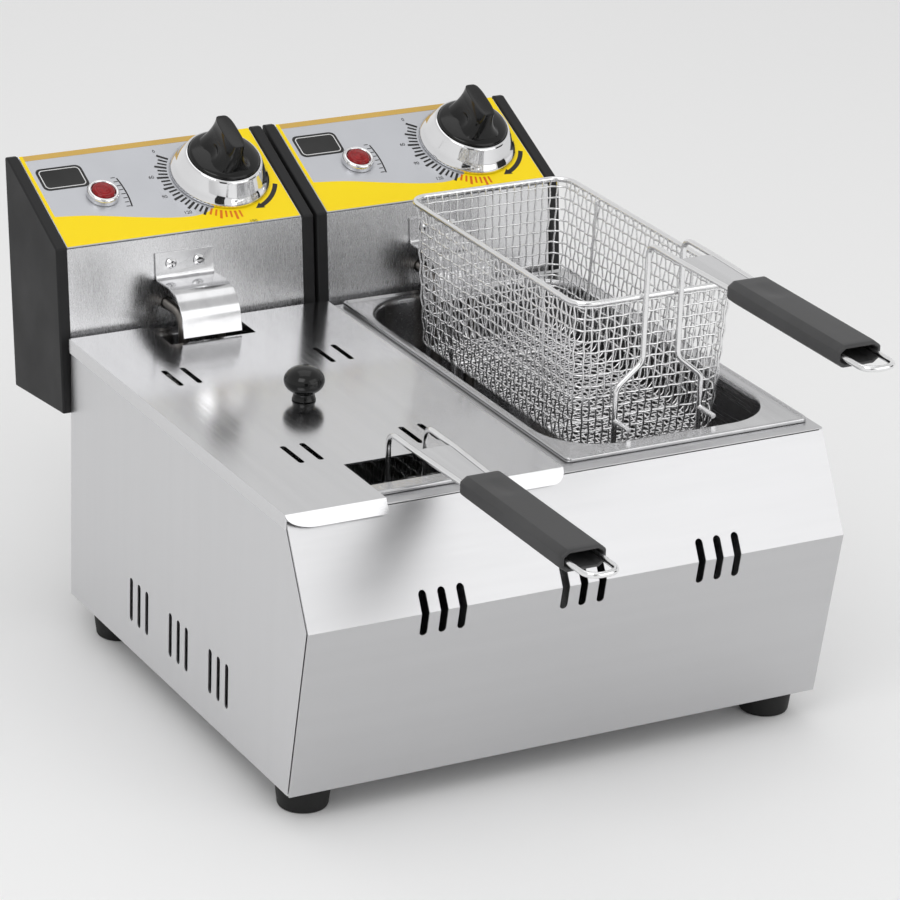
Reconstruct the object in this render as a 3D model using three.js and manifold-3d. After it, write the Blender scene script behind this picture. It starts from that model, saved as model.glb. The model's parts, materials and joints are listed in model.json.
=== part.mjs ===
// Twin countertop electric deep fryer with two lift-out tanks, baskets and control heads.
// Millimetres, +Z up, +X to the operator's right, the operator stands on the -Y side.
// The model is drawn with x = 0 on the casing's centre line, y = 0 on the casing's back plane and
// z = 0 on the worktop, and is moved at the end so that its origin is the middle of its footprint.
import * as THREE from 'three';
import { mergeVertices } from 'three/addons/utils/BufferGeometryUtils.js';
import Module from 'manifold-3d';

const wasm = await Module();
wasm.setup();

// ---------------------------------------------------------------- driving dimensions
const FIT = 0.3; // gap between pieces that touch
const SHEET = 1.2; // stainless sheet of casing, lid and heads
const SLIP = 0.8; // gap round a tube or a screw in its hole

// tanks
const TANK_WIDTH = 187; // over the flange
const TANK_LENGTH = 327; // over the flange
const TANK_DEPTH = 150;
const TANK_WALL = 1.5;
const FLANGE_SIDE = 9; // flange width along the long sides
const FLANGE_END = 6; // flange width along the back
const FLANGE_FRONT = 18; // wider flange along the front, where a basket's hooks rest
const FLANGE_CORNER = 4.5;
const WELL_CORNER = 42; // plan radius of the well's corners
const BEAD_WIDTH = 3; // raised outer edge of the flange
const BEAD_HEIGHT = 3;
const WELL_SLIP = 2; // deck opening round the well

// casing
const TANK_SPACING = 19; // between the two flanges
const DECK_SIDE = 3.5; // deck outside the flanges
const DECK_BACK = 1;
const DECK_FRONT = 12;
const CASE_HEIGHT = 189;
const CREASE_HEIGHT = 124; // fold of the front panel above the casing's bottom
const CREASE_OUT = 34; // how far the fold stands in front of the deck's edge
const BOTTOM_OUT = 12; // how far the bottom edge stands in front of the deck's edge
const SEAM = 1.3; // dark joint between the front panel and each side
const FRONT_SLOT = { width: 5.5, height: 30, pitch: 13.7, middle: 122.5 };
const SIDE_SLOT = { width: 5, height: 32, pitch: 12.8, middle: 38 };
const SIDE_SLOT_GROUPS = [117, 181, 244]; // distances of the groups' middles from the back
const FOOT = { height: 22.5, top: 19.5, bottom: 17, back: 30, front: 18, stud: 4, studLength: 7 };
const FOOT_SIDE = { left: 25, right: 20 }; // foot's middle from the casing's side

// lid
const LID_SIDE_GAP = 0.8;
const LID_FRONT_OUT = 1.6; // lid plate past the deck's front edge
const LID_BACK_OUT = -1; // short of the casing, so that the heads lift past it
const LID_RIGHT_OUT = 8; // lid past the tank's flange
const LID_SIDE_FLANGE = 10;
const LID_FRONT_FLANGE = 10.5;
const LID_FLANGE_CORNER = { left: 22, notch: 2.5, right: 9 }; // roundings of the front flange
const LID_SLOT = { width: 4, length: 31, pitch: 14, rear: 97.5, front: 253, rearOut: 57.5, frontOut: 43.5 };
const HANDLE_NOTCH = { left: 44, right: 20, behind: 1.5 }; // from the handle's middle and its wires
const GUARD_NOTCH = { side: 10, front: 1.2 }; // past the element guard
const LID_KNOB = { ball: 14, crown: 10, neck: 7.4, foot: 8.2, height: 24, stud: 2.5, back: 168 };

// baskets
const BASKET_SIDE = 21; // well wall to rim wire's middle
const BASKET_BACK = 35;
const BASKET_DEPTH = 110;
const BASKET_TAPER = 6;
const BASKET_WALL = 1.2;
const BASKET_CORNER = 14;
const BASKET_RIM_DROP = 14.5; // rim below the deck when the basket is in the oil
const BASKET_RAISE = 103.5; // drain place above the oil place
const BASKET_SHIFT_LEFT = 16.5; // the left basket stands off its tank's middle
const WIRE = 2; // radius of the rim and handle wires
const HANDLE_BACK = 25; // handle wires from the well's front wall
const HANDLE_RISE = 38.5; // handle wires above the rim
const HANDLE_HALF = 13.5; // handle wires from their middle at the bend
const GRIP_HALF = 11.4; // and inside the grip
const FORK_HALF = 33;
const FORK_TOP = 45; // below the rim
const FORK_BOTTOM = 61;
const HOOK_DROP = 84; // drain hooks below the rim
const HOOK_SLIP = 6; // hook tip to the well's front wall
const GRIP = { start: 99, length: 131, width: 32, height: 15, wall: 2.2, back: 8, corner: 4 };
const LOOP_OUT = 27; // hanging loop past the grip
const STRAP = { start: 37, thickness: 1.5, inGrip: 16 };

// control heads
const HEAD_TRIM = 7.5; // head width below the tanks' pitch
const HEAD_CREEP = { left: -3.5, right: -8.5 }; // head's middle from its tank's middle
const HEAD_LEAN = THREE.MathUtils.degToRad(6);
const HEAD_BELOW_DECK = 50;
const HEAD_OFF_CASE = 2;
const HEAD_DEPTH = 84;
const HEAD_FRONT = 115; // front height, up to the slanted panel
const HEAD_BACK = 164;
const CHEEK = 8.5;
const CHEEK_PROUD = 1.5;
const HEAD_TURN_IN = 12; // folded lip under the front
const LABEL = 0.8;
const KNOB = { x: 48, up: 53, skirt: 36.5, ring: 27.5, ringHeight: 19, base: 26, height: 44, fin: 6.5 };
const SHAFT = 3;
const THERMOSTAT = { width: 44, length: 36, depth: 28, bush: 5 };
const LAMP = { x: -45, up: 47.5, bezel: 11.8, lens: 8.3, tube: 8, height: 6.5, depth: 18 };
const GUARD = { x: -2.5, half: 22.4, thickness: 1.5, top: 104, out: 44.2, low: 52.5, screw: 10.7 };
const SCREW = { head: 4, headHeight: 2.2, shank: 1.9, length: 9 };
const ELEMENT = { radius: 4, leg: 14, above: 17, down: 20, floor: 14, outer: 54, inner: 18 };
const ELEMENT_BEND = 13;
const ELEMENT_BACK = 50; // return bend from the casing's back
const ELEMENT_FRONT = 22; // front bends from the well's front wall
const ELEMENT_INSIDE = 24; // legs inside the head
const BULB = { capillary: 1.5, radius: 3.5, low: 25, length: 84, back: 22 };
const TERMINAL = { half: 30, depth: 18, height: 20 };
const GLAND = { thread: 7, nut: 11, bore: 4, up: 30, out: 20 };
const BRACKET = { half: 60, thickness: 2, drop: 34, shelf: 52 };

// ---------------------------------------------------------------- derived levels and places
const WIDTH = 2 * TANK_WIDTH + TANK_SPACING + 2 * DECK_SIDE;
const DEPTH = DECK_BACK + TANK_LENGTH + DECK_FRONT;
const PITCH = TANK_WIDTH + TANK_SPACING;
const BOTTOM = FOOT.height;
const DECK = BOTTOM + CASE_HEIGHT;
const FRONT_SLOPE = Math.atan(CREASE_OUT / (CASE_HEIGHT - CREASE_HEIGHT));
const WELL_WIDTH = TANK_WIDTH - 2 * FLANGE_SIDE;
const WELL_BACK = -DECK_BACK - FLANGE_END;
const WELL_FRONT = -DECK_BACK - TANK_LENGTH + FLANGE_FRONT;
const TANK_FLOOR = DECK + FIT + TANK_WALL - TANK_DEPTH;
const RIM_TOP = DECK + FIT + BEAD_HEIGHT;
const LID_UNDER = RIM_TOP + FIT;
const LID_TOP = LID_UNDER + SHEET;
const HEAD_WIDTH = PITCH - HEAD_TRIM;
const HEAD_INNER = HEAD_WIDTH / 2 - CHEEK;
const HEAD_FLOOR = DECK - HEAD_BELOW_DECK;
const PANEL_SLOPE = Math.atan((HEAD_BACK - HEAD_FRONT) / HEAD_DEPTH);
const PANEL_LENGTH = Math.hypot(HEAD_BACK - HEAD_FRONT, HEAD_DEPTH);
const LEG_HEIGHT = DECK + ELEMENT.above;
const HANDLE_Y = WELL_FRONT + HANDLE_BACK;

const SIDES = [
  { name: 'left', x: -PITCH / 2, creep: HEAD_CREEP.left, basketShift: BASKET_SHIFT_LEFT, raise: 0 },
  { name: 'right', x: PITCH / 2, creep: HEAD_CREEP.right, basketShift: 0, raise: BASKET_RAISE },
];

// ---------------------------------------------------------------- materials
const finish = (color, roughness, metalness) =>
  new THREE.MeshStandardMaterial({ color, roughness, metalness });
const STEEL = finish(0xc9cacc, 0.3, 1);
const TANK_STEEL = finish(0xb4b5b6, 0.22, 1);
const WIRE_STEEL = finish(0xd6d7d8, 0.18, 1);
const CHROME = finish(0xe6e7e8, 0.08, 1);
const ELEMENT_STEEL = finish(0x6f6d69, 0.4, 1);
const DARK_PLASTIC = finish(0x3a3a3b, 0.6, 0);
const BLACK_PLASTIC = finish(0x161616, 0.3, 0);
const LABEL_FILM = finish(0xe3c12a, 0.45, 0);
const LENS_RED = finish(0x8c1a1c, 0.15, 0);
const RUBBER = finish(0x141414, 0.8, 0);
const CERAMIC = finish(0xe9e4d8, 0.5, 0);
const BRACKET_STEEL = finish(0x9da0a3, 0.4, 1);

// ---------------------------------------------------------------- geometry helpers
const X_AXIS = new THREE.Vector3(1, 0, 0);
const Y_AXIS = new THREE.Vector3(0, 1, 0);
const Z_AXIS = new THREE.Vector3(0, 0, 1);

function solidOf(geometry) {
  const bare = geometry.clone();
  bare.deleteAttribute('normal');
  bare.deleteAttribute('uv');
  const merged = mergeVertices(bare, 1e-4);
  const vertProperties = Float32Array.from(merged.attributes.position.array);
  const triVerts = Uint32Array.from(merged.index.array);
  return new wasm.Manifold(new wasm.Mesh({ numProp: 3, vertProperties, triVerts }));
}

function geometryOf(solid) {
  const { vertProperties, triVerts } = solid.getMesh();
  const geometry = new THREE.BufferGeometry();
  geometry.setAttribute('position', new THREE.BufferAttribute(Float32Array.from(vertProperties), 3));
  geometry.setIndex(new THREE.BufferAttribute(Uint32Array.from(triVerts), 1));
  geometry.computeVertexNormals();
  return geometry;
}

const cut = (geometry, tools) =>
  geometryOf(tools.reduce((solid, tool) => solid.subtract(solidOf(tool)), solidOf(geometry)));
const join = (geometry, others) =>
  geometryOf(others.reduce((solid, other) => solid.add(solidOf(other)), solidOf(geometry)));
const common = (a, b) => geometryOf(solidOf(a).intersect(solidOf(b)));

function extruded(shape, depth, curveSegments = 6) {
  return new THREE.ExtrudeGeometry(shape, { depth, bevelEnabled: false, curveSegments });
}

// a shape drawn in (y, z), extruded from x0 to x1
function alongX(shape, x0, x1, curveSegments) {
  const geometry = extruded(shape, x1 - x0, curveSegments);
  geometry.applyMatrix4(new THREE.Matrix4().makeBasis(Y_AXIS, Z_AXIS, X_AXIS));
  return geometry.translate(x0, 0, 0);
}

// a shape drawn in (x, z), extruded from y0 to y1
function alongY(shape, y0, y1, curveSegments) {
  const geometry = extruded(shape, y1 - y0, curveSegments);
  geometry.applyMatrix4(new THREE.Matrix4().makeBasis(X_AXIS, Z_AXIS, Y_AXIS.clone().negate()));
  return geometry.translate(0, y1, 0);
}

// a shape drawn in (x, y), extruded from z0 to z1
function alongZ(shape, z0, z1, curveSegments) {
  return extruded(shape, z1 - z0, curveSegments).translate(0, 0, z0);
}

const polygon = (points) => new THREE.Shape(points.map(([u, v]) => new THREE.Vector2(u, v)));

const rectangle = (u0, u1, v0, v1) => polygon([[u0, v0], [u1, v0], [u1, v1], [u0, v1]]);

function roundedRectangle(u0, u1, v0, v1, radius) {
  const shape = new THREE.Shape();
  shape.moveTo(u0 + radius, v0);
  shape.lineTo(u1 - radius, v0);
  shape.absarc(u1 - radius, v0 + radius, radius, -Math.PI / 2, 0);
  shape.lineTo(u1, v1 - radius);
  shape.absarc(u1 - radius, v1 - radius, radius, 0, Math.PI / 2);
  shape.lineTo(u0 + radius, v1);
  shape.absarc(u0 + radius, v1 - radius, radius, Math.PI / 2, Math.PI);
  shape.lineTo(u0, v0 + radius);
  shape.absarc(u0 + radius, v0 + radius, radius, Math.PI, 1.5 * Math.PI);
  return shape;
}

// a slot with round ends, standing along v
const slotShape = (u, v, width, height) =>
  roundedRectangle(u - width / 2, u + width / 2, v - height / 2, v + height / 2, width / 2 - 0.01);

function disc(u, v, radius, sides = 16) {
  const corners = Array.from({ length: sides }, (_, i) => {
    const angle = (2 * Math.PI * i) / sides;
    return [u + radius * Math.cos(angle), v + radius * Math.sin(angle)];
  });
  return polygon(corners);
}

// section of a folded sheet: the outer line, thickened to its left side
function sheetSection(outer, thickness) {
  const line = outer.map(([u, v]) => new THREE.Vector2(u, v));
  const inner = line.map((point, i) => {
    const before = line[Math.max(i - 1, 0)];
    const after = line[Math.min(i + 1, line.length - 1)];
    const a = (i > 0 ? point.clone().sub(before) : after.clone().sub(point)).normalize();
    const b = (i < line.length - 1 ? after.clone().sub(point) : point.clone().sub(before)).normalize();
    const normal = new THREE.Vector2(-a.y - b.y, a.x + b.x).normalize();
    const reach = thickness / (-a.y * normal.x + a.x * normal.y);
    return point.clone().addScaledVector(normal, reach);
  });
  return new THREE.Shape([...line, ...inner.reverse()]);
}

// turned piece about +Z from (radius, height) points
function turned(points, segments = 32) {
  const profile = points.map(([r, h]) => new THREE.Vector2(r, h));
  const geometry = new THREE.LatheGeometry(profile, segments);
  return geometry.rotateX(Math.PI / 2);
}

// a wire that keeps exactly to its own points
class WirePath extends THREE.Curve {
  constructor(points) {
    super();
    this.points = points;
  }
  getPoint(t) {
    const place = t * (this.points.length - 1);
    const i = Math.min(Math.floor(place), this.points.length - 2);
    return this.points[i].clone().lerp(this.points[i + 1], place - i);
  }
  getTangentAt(t) {
    const i = Math.round(t * (this.points.length - 1));
    const before = this.points[Math.max(i - 1, 0)];
    const after = this.points[Math.min(i + 1, this.points.length - 1)];
    return after.clone().sub(before).normalize();
  }
  getSpacedPoints() {
    return this.points.map((point) => point.clone());
  }
}

function roundedCorners(corners, bend, bendSteps) {
  const points = [corners[0]];
  for (let i = 1; i < corners.length - 1; i += 1) {
    const toBefore = corners[i - 1].clone().sub(corners[i]);
    const toAfter = corners[i + 1].clone().sub(corners[i]);
    const reach = bend / Math.tan(toBefore.angleTo(toAfter) / 2);
    const back = Math.min(reach, toBefore.length() / 2, toAfter.length() / 2);
    const start = corners[i].clone().addScaledVector(toBefore.normalize(), back);
    const end = corners[i].clone().addScaledVector(toAfter.normalize(), back);
    points.push(...new THREE.QuadraticBezierCurve3(start, corners[i], end).getPoints(bendSteps));
  }
  points.push(corners[corners.length - 1]);
  return points.filter((point, i) => i === 0 || point.distanceTo(points[i - 1]) > 0.05);
}

function wire(corners, radius, bend, sides = 8, bendSteps = 4) {
  const vectors = corners.map(([x, y, z]) => new THREE.Vector3(x, y, z));
  const path = new WirePath(roundedCorners(vectors, bend, bendSteps));
  const section = new THREE.Shape(
    Array.from({ length: sides }, (_, i) => {
      const angle = (2 * Math.PI * i) / sides;
      return new THREE.Vector2(radius * Math.cos(angle), radius * Math.sin(angle));
    }),
  );
  return new THREE.ExtrudeGeometry(section, { steps: path.points.length - 1, extrudePath: path });
}

function add(group, name, geometry, material) {
  const mesh = new THREE.Mesh(geometry, material);
  mesh.name = name;
  group.add(mesh);
  return mesh;
}

// ---------------------------------------------------------------- casing
function casingFront() {
  const section = sheetSection(
    [
      [-DEPTH, DECK - SHEET - FIT],
      [-DEPTH - CREASE_OUT, BOTTOM + CREASE_HEIGHT],
      [-DEPTH - BOTTOM_OUT, BOTTOM],
    ],
    SHEET,
  );
  const slots = [];
  for (const group of [-PITCH / 2, 0, PITCH / 2]) {
    for (const step of [-1, 0, 1]) {
      const { width, height, pitch, middle } = FRONT_SLOT;
      const shape = slotShape(group + step * pitch, BOTTOM + middle, width, height);
      slots.push(alongY(shape, -DEPTH - 2 * CREASE_OUT, -DEPTH, 2));
    }
  }
  return cut(alongX(section, -WIDTH / 2, WIDTH / 2), slots);
}

const SEAM_SHIFT = (SHEET + SEAM) / Math.cos(FRONT_SLOPE);

function casingSide(sign) {
  const outline = polygon([
    [0, BOTTOM],
    [0, DECK - SHEET - FIT],
    [SEAM_SHIFT - DEPTH, DECK - SHEET - FIT],
    [SEAM_SHIFT - DEPTH - CREASE_OUT, BOTTOM + CREASE_HEIGHT],
    [SEAM_SHIFT - DEPTH - BOTTOM_OUT, BOTTOM],
  ]);
  const outside = (sign * WIDTH) / 2;
  const inside = outside - sign * SHEET;
  const slots = [];
  for (const fromBack of SIDE_SLOT_GROUPS) {
    for (const step of [-1, 0, 1]) {
      const { width, height, pitch, middle } = SIDE_SLOT;
      const shape = slotShape(-fromBack + step * pitch, BOTTOM + middle, width, height);
      slots.push(alongX(shape, Math.min(outside, inside) - 1, Math.max(outside, inside) + 1, 2));
    }
  }
  return cut(alongX(outline, Math.min(outside, inside), Math.max(outside, inside)), slots);
}

function casingBack() {
  const half = WIDTH / 2 - SHEET - FIT;
  return alongY(rectangle(-half, half, BOTTOM, DECK - SHEET - FIT), -SHEET, 0);
}

const FOOT_PLACES = [];
for (const [end, y] of [['rear', -FOOT.back], ['front', -DEPTH + FOOT.front]]) {
  for (const [side, sign] of [['left', -1], ['right', 1]]) {
    FOOT_PLACES.push({ name: `foot_${end}_${side}`, x: sign * (WIDTH / 2 - FOOT_SIDE[side]), y });
  }
}

function basePlate() {
  const half = WIDTH / 2 - SHEET - FIT;
  const shape = rectangle(-half, half, SEAM_SHIFT - DEPTH - BOTTOM_OUT + SHEET, -SHEET - FIT);
  for (const { x, y } of FOOT_PLACES) shape.holes.push(disc(x, y, FOOT.stud + SLIP));
  return alongZ(shape, BOTTOM, BOTTOM + SHEET);
}

const wellShape = (grow) =>
  roundedRectangle(
    -WELL_WIDTH / 2 - grow,
    WELL_WIDTH / 2 + grow,
    WELL_FRONT - grow,
    WELL_BACK + grow,
    WELL_CORNER + grow,
  );

function deckFrame() {
  const openings = SIDES.map(({ x }) =>
    alongZ(wellShape(TANK_WALL + WELL_SLIP), DECK - 2 * SHEET, DECK + SHEET).translate(x, 0, 0));
  return cut(alongZ(rectangle(-WIDTH / 2, WIDTH / 2, -DEPTH, 0), DECK - SHEET, DECK), openings);
}

function foot() {
  const top = FOOT.height - FIT;
  return turned([
    [0, 0],
    [FOOT.bottom - 1.5, 0],
    [FOOT.bottom, 1.5],
    [FOOT.top, top],
    [FOOT.stud, top],
    [FOOT.stud, top + FOOT.studLength],
    [0, top + FOOT.studLength],
  ], 20);
}

// shelf behind the casing that a control head hangs on
function headBracket(x) {
  const shelfStart = HEAD_FLOOR - 2 * FIT;
  const section = sheetSection(
    [
      [FIT, HEAD_FLOOR - BRACKET.drop],
      [FIT, shelfStart],
      [FIT + BRACKET.shelf, shelfStart - BRACKET.shelf * Math.tan(HEAD_LEAN)],
    ],
    -BRACKET.thickness,
  );
  return alongX(section, x - BRACKET.half, x + BRACKET.half);
}

// ---------------------------------------------------------------- tank
function tank() {
  const outer = (inset) =>
    roundedRectangle(
      -TANK_WIDTH / 2 + inset,
      TANK_WIDTH / 2 - inset,
      -DECK_BACK - TANK_LENGTH + inset,
      -DECK_BACK - inset,
      FLANGE_CORNER - inset,
    );
  const bead = outer(0);
  bead.holes.push(outer(BEAD_WIDTH));
  const flangeUnder = DECK + FIT;
  const body = join(alongZ(outer(0), flangeUnder, flangeUnder + TANK_WALL, 3), [
    alongZ(bead, flangeUnder, flangeUnder + BEAD_HEIGHT, 3),
    alongZ(wellShape(TANK_WALL), TANK_FLOOR - TANK_WALL, flangeUnder + TANK_WALL / 2, 5),
  ]);
  return cut(body, [alongZ(wellShape(0), TANK_FLOOR, RIM_TOP + 1, 5)]);
}

// ---------------------------------------------------------------- lid
function lid(side) {
  const left = -WIDTH / 2 - LID_SIDE_GAP - SHEET;
  const right = side.x + TANK_WIDTH / 2 + LID_RIGHT_OUT;
  const front = -DEPTH - LID_FRONT_OUT;
  const middle = side.x;
  const handle = side.x + side.basketShift;
  const guard = side.x + side.creep + GUARD.x;
  const notchLeft = handle - HANDLE_NOTCH.left;
  const notchRight = handle + HANDLE_NOTCH.right;

  const plate = alongZ(rectangle(left, right, front, LID_BACK_OUT), LID_UNDER, LID_TOP);
  const sideFlange = alongZ(
    rectangle(left, left + SHEET, front, LID_BACK_OUT), LID_TOP - LID_SIDE_FLANGE, LID_TOP);
  const corner = LID_FLANGE_CORNER;
  const frontFlanges = [
    [left, notchLeft, corner.left, corner.notch],
    [notchRight, right, corner.notch, corner.right],
  ].map(([x0, x1, first, last]) => {
    const low = -LID_FRONT_FLANGE;
    const [tall0, tall1] = [Math.min(first, -low - 0.5), Math.min(last, -low - 0.5)];
    const shape = new THREE.Shape();
    shape.moveTo(x0, 0);
    shape.lineTo(x0, low + tall0);
    shape.absellipse(x0 + first, low + tall0, first, tall0, Math.PI, 1.5 * Math.PI, false);
    shape.lineTo(x1 - last, low);
    shape.absellipse(x1 - last, low + tall1, last, tall1, 1.5 * Math.PI, 2 * Math.PI, false);
    shape.lineTo(x1, 0);
    return alongY(shape, 0, SHEET, 6).rotateX(-FRONT_SLOPE).translate(0, front, LID_TOP);
  });

  const through = (shape) => alongZ(shape, LID_UNDER - 1, LID_TOP + 1, 2);
  const openings = [
    through(rectangle(notchLeft, notchRight, front - 20, HANDLE_Y + WIRE + HANDLE_NOTCH.behind)),
    through(rectangle(
      guard - GUARD.half - GUARD_NOTCH.side,
      guard + GUARD.half + GUARD_NOTCH.side,
      guardFrontY() - GUARD_NOTCH.front,
      LID_BACK_OUT + 1,
    )),
    through(disc(middle, LID_KNOB_Y, LID_KNOB.stud + SLIP)),
  ];
  for (const [fromBack, out] of [[LID_SLOT.rear, LID_SLOT.rearOut], [LID_SLOT.front, LID_SLOT.frontOut]]) {
    for (const sign of [-1, 1]) {
      for (const step of [-0.5, 0.5]) {
        const x = middle + sign * out + step * LID_SLOT.pitch;
        openings.push(through(slotShape(x, -fromBack, LID_SLOT.width, LID_SLOT.length)));
      }
    }
  }
  return cut(join(plate, [sideFlange, ...frontFlanges]), openings);
}

const LID_KNOB_Y = -LID_KNOB.back;

function lidKnob() {
  const { ball, crown, neck, foot: flare, height, stud } = LID_KNOB;
  const centre = height - crown;
  const points = [[0, -SHEET - 5], [stud, -SHEET - 5], [stud, FIT], [flare, FIT], [flare, 1.6], [neck, 4]];
  const start = Math.asin(neck / ball);
  for (let i = 0; i <= 7; i += 1) {
    const angle = start + ((Math.PI - start) * i) / 7;
    points.push([i === 7 ? 0 : ball * Math.sin(angle), centre - crown * Math.cos(angle)]);
  }
  return turned(points, 20);
}

// ---------------------------------------------------------------- basket, about its handle's middle
// local frame: x from the handle's middle, y from the handle wires' plane, z from the rim wire
const RIM_HALF = WELL_WIDTH / 2 - BASKET_SIDE;
const RIM_FRONT = 2 * WIRE + 0.4;
const RIM_BACK = WELL_BACK - BASKET_BACK - HANDLE_Y;
const HOOK_TIP = WELL_FRONT + HOOK_SLIP - HANDLE_Y;

function basketRim() {
  const bevel = WIRE * 0.586;
  const core = WIRE - bevel;
  const loop = (grow) =>
    roundedRectangle(-RIM_HALF - grow, RIM_HALF + grow, RIM_FRONT - grow, RIM_BACK + grow, BASKET_CORNER + grow);
  const ring = loop(core);
  ring.holes.push(loop(-core));
  return new THREE.ExtrudeGeometry(ring, {
    depth: 2 * core,
    bevelThickness: bevel,
    bevelSize: bevel,
    bevelSegments: 1,
    curveSegments: 3,
  }).translate(0, 0, -core);
}

function taperedBox(inset, zLow, zHigh, taperPerHeight) {
  const box = alongZ(
    roundedRectangle(
      -RIM_HALF + inset, RIM_HALF - inset, RIM_FRONT + inset, RIM_BACK - inset, BASKET_CORNER - inset),
    zLow, zHigh, 5);
  const position = box.attributes.position;
  const middleY = (RIM_FRONT + RIM_BACK) / 2;
  const [halfX, halfY] = [RIM_HALF - inset, (RIM_BACK - RIM_FRONT) / 2 - inset];
  for (let i = 0; i < position.count; i += 1) {
    const draw = -position.getZ(i) * taperPerHeight;
    position.setX(i, position.getX(i) * (1 - draw / halfX));
    position.setY(i, middleY + (position.getY(i) - middleY) * (1 - draw / halfY));
  }
  return box;
}

function basketMesh() {
  const taper = BASKET_TAPER / BASKET_DEPTH;
  const outer = taperedBox(WIRE + FIT, -BASKET_DEPTH, 0, taper);
  const inner = taperedBox(WIRE + FIT + BASKET_WALL, -BASKET_DEPTH + BASKET_WALL, 2, taper);
  return cut(outer, [inner]);
}

// one wire: up the front, forward through the grip, round the hanging loop and back again
function basketHandleWire() {
  const loop = GRIP.start + GRIP.length + LOOP_OUT - WIRE;
  const half = [
    [FORK_HALF, 0, -BASKET_DEPTH + WIRE],
    [FORK_HALF, 0, -FORK_BOTTOM],
    [HANDLE_HALF, 0, -FORK_TOP],
    [HANDLE_HALF, 0, HANDLE_RISE],
    [HANDLE_HALF, -STRAP.start, HANDLE_RISE],
    [GRIP_HALF, -GRIP.start, HANDLE_RISE],
    [GRIP_HALF, -loop, HANDLE_RISE],
  ];
  const mirrored = half.map(([x, y, z]) => [-x, y, z]).reverse();
  const handle = wire([...half, ...mirrored], WIRE, 8, 6, 3);
  const hooks = [-FORK_HALF, FORK_HALF].map((x) =>
    wire([[x, 0, -HOOK_DROP], [x, HOOK_TIP, -HOOK_DROP]], WIRE * 0.95, 1));
  return join(handle, hooks);
}

function basketStrap() {
  const { start, thickness, inGrip } = STRAP;
  const end = -GRIP.start - inGrip;
  const [wide, narrow] = [HANDLE_HALF - WIRE - FIT, GRIP_HALF - WIRE - FIT];
  const shape = polygon([
    [-narrow, end], [narrow, end], [narrow, -GRIP.start], [wide, -start - 1], [wide - 2, -start + 1],
    [2 - wide, -start + 1], [-wide, -start - 1], [-narrow, -GRIP.start],
  ]);
  return alongZ(shape, HANDLE_RISE - thickness / 2, HANDLE_RISE + thickness / 2, 2);
}

function basketGrip() {
  const { start, length, width, height, wall, back, corner } = GRIP;
  const [low, high] = [HANDLE_RISE - height / 2, HANDLE_RISE + height / 2];
  const body = alongY(
    roundedRectangle(-width / 2, width / 2, low, high, corner), -start - length, -start, 3);
  const hollow = alongY(
    roundedRectangle(-width / 2 + wall, width / 2 - wall, low + wall, high - wall, 1.5),
    -start - length - 1, -start - back, 2);
  const wireHoles = [-GRIP_HALF, GRIP_HALF].map((x) =>
    alongY(disc(x, HANDLE_RISE, WIRE + FIT), -start - back - 1, -start + 1));
  const strapSlot = alongY(
    rectangle(-GRIP_HALF, GRIP_HALF,
      HANDLE_RISE - STRAP.thickness / 2 - FIT, HANDLE_RISE + STRAP.thickness / 2 + FIT),
    -start - back - 1, -start + 1);
  return cut(body, [hollow, ...wireHoles, strapSlot]);
}

// ---------------------------------------------------------------- control head
// local frame: x from the head's middle, y from its front face, z from its floor, leaning back
const HEAD_Y = HEAD_OFF_CASE;
const leanY = (y, z) => HEAD_Y + y * Math.cos(HEAD_LEAN) + z * Math.sin(HEAD_LEAN);
const guardFrontY = () => leanY(-GUARD.out - GUARD.thickness, GUARD.low);

// height in the leaning frame where something level at that height crosses the front face
const frontHeight = (z) => (z - HEAD_FLOOR) / Math.cos(HEAD_LEAN);

function headShell() {
  const along = (distance) => [
    distance * Math.cos(PANEL_SLOPE),
    HEAD_FRONT + distance * Math.sin(PANEL_SLOPE),
  ];
  const section = sheetSection(
    [[HEAD_TURN_IN, 0], [0, 0], [0, HEAD_FRONT], along(PANEL_LENGTH - 2 * SHEET)], -SHEET);
  const shell = alongX(section, -HEAD_INNER + FIT, HEAD_INNER - FIT);
  const legHeight = frontHeight(LEG_HEIGHT);
  const frontHoles = [
    ...[-ELEMENT.leg, ELEMENT.leg].map((x) => disc(GUARD.x + x, legHeight, ELEMENT.radius + SLIP)),
    disc(GUARD.x, legHeight, BULB.capillary + SLIP),
    ...[-GUARD.screw, GUARD.screw].map((x) => disc(GUARD.x + x, guardScrewHeight(), SCREW.shank + SLIP)),
  ].map((shape) => alongY(shape, -2, 2 + SHEET, 4));
  const panelHoles = [
    disc(KNOB.x, KNOB.up, THERMOSTAT.bush + SLIP),
    disc(LAMP.x, LAMP.up, LAMP.tube + SLIP),
  ].map((shape) =>
    alongZ(shape, -2 - SHEET, 2, 5).rotateX(PANEL_SLOPE).translate(0, 0, HEAD_FRONT));
  return cut(shell, [...frontHoles, ...panelHoles]);
}

function headBackCover() {
  const section = sheetSection(
    [[HEAD_TURN_IN + FIT, 0], [HEAD_DEPTH, 0], [HEAD_DEPTH, HEAD_BACK - 3 * SHEET]], SHEET);
  const cover = alongX(section, -HEAD_INNER + FIT, HEAD_INNER - FIT);
  return cut(cover, [alongY(disc(0, GLAND.up, GLAND.thread + SLIP), HEAD_DEPTH - 5, HEAD_DEPTH + 5, 5)]);
}

function headCheek() {
  const proud = CHEEK_PROUD;
  const outline = polygon([
    [-proud, -proud],
    [HEAD_DEPTH + proud, -proud],
    [HEAD_DEPTH + proud, HEAD_BACK + proud],
    [HEAD_DEPTH - 3, HEAD_BACK + proud],
    [-proud, HEAD_FRONT + proud],
  ]);
  return alongX(outline, 0, CHEEK);
}

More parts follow.
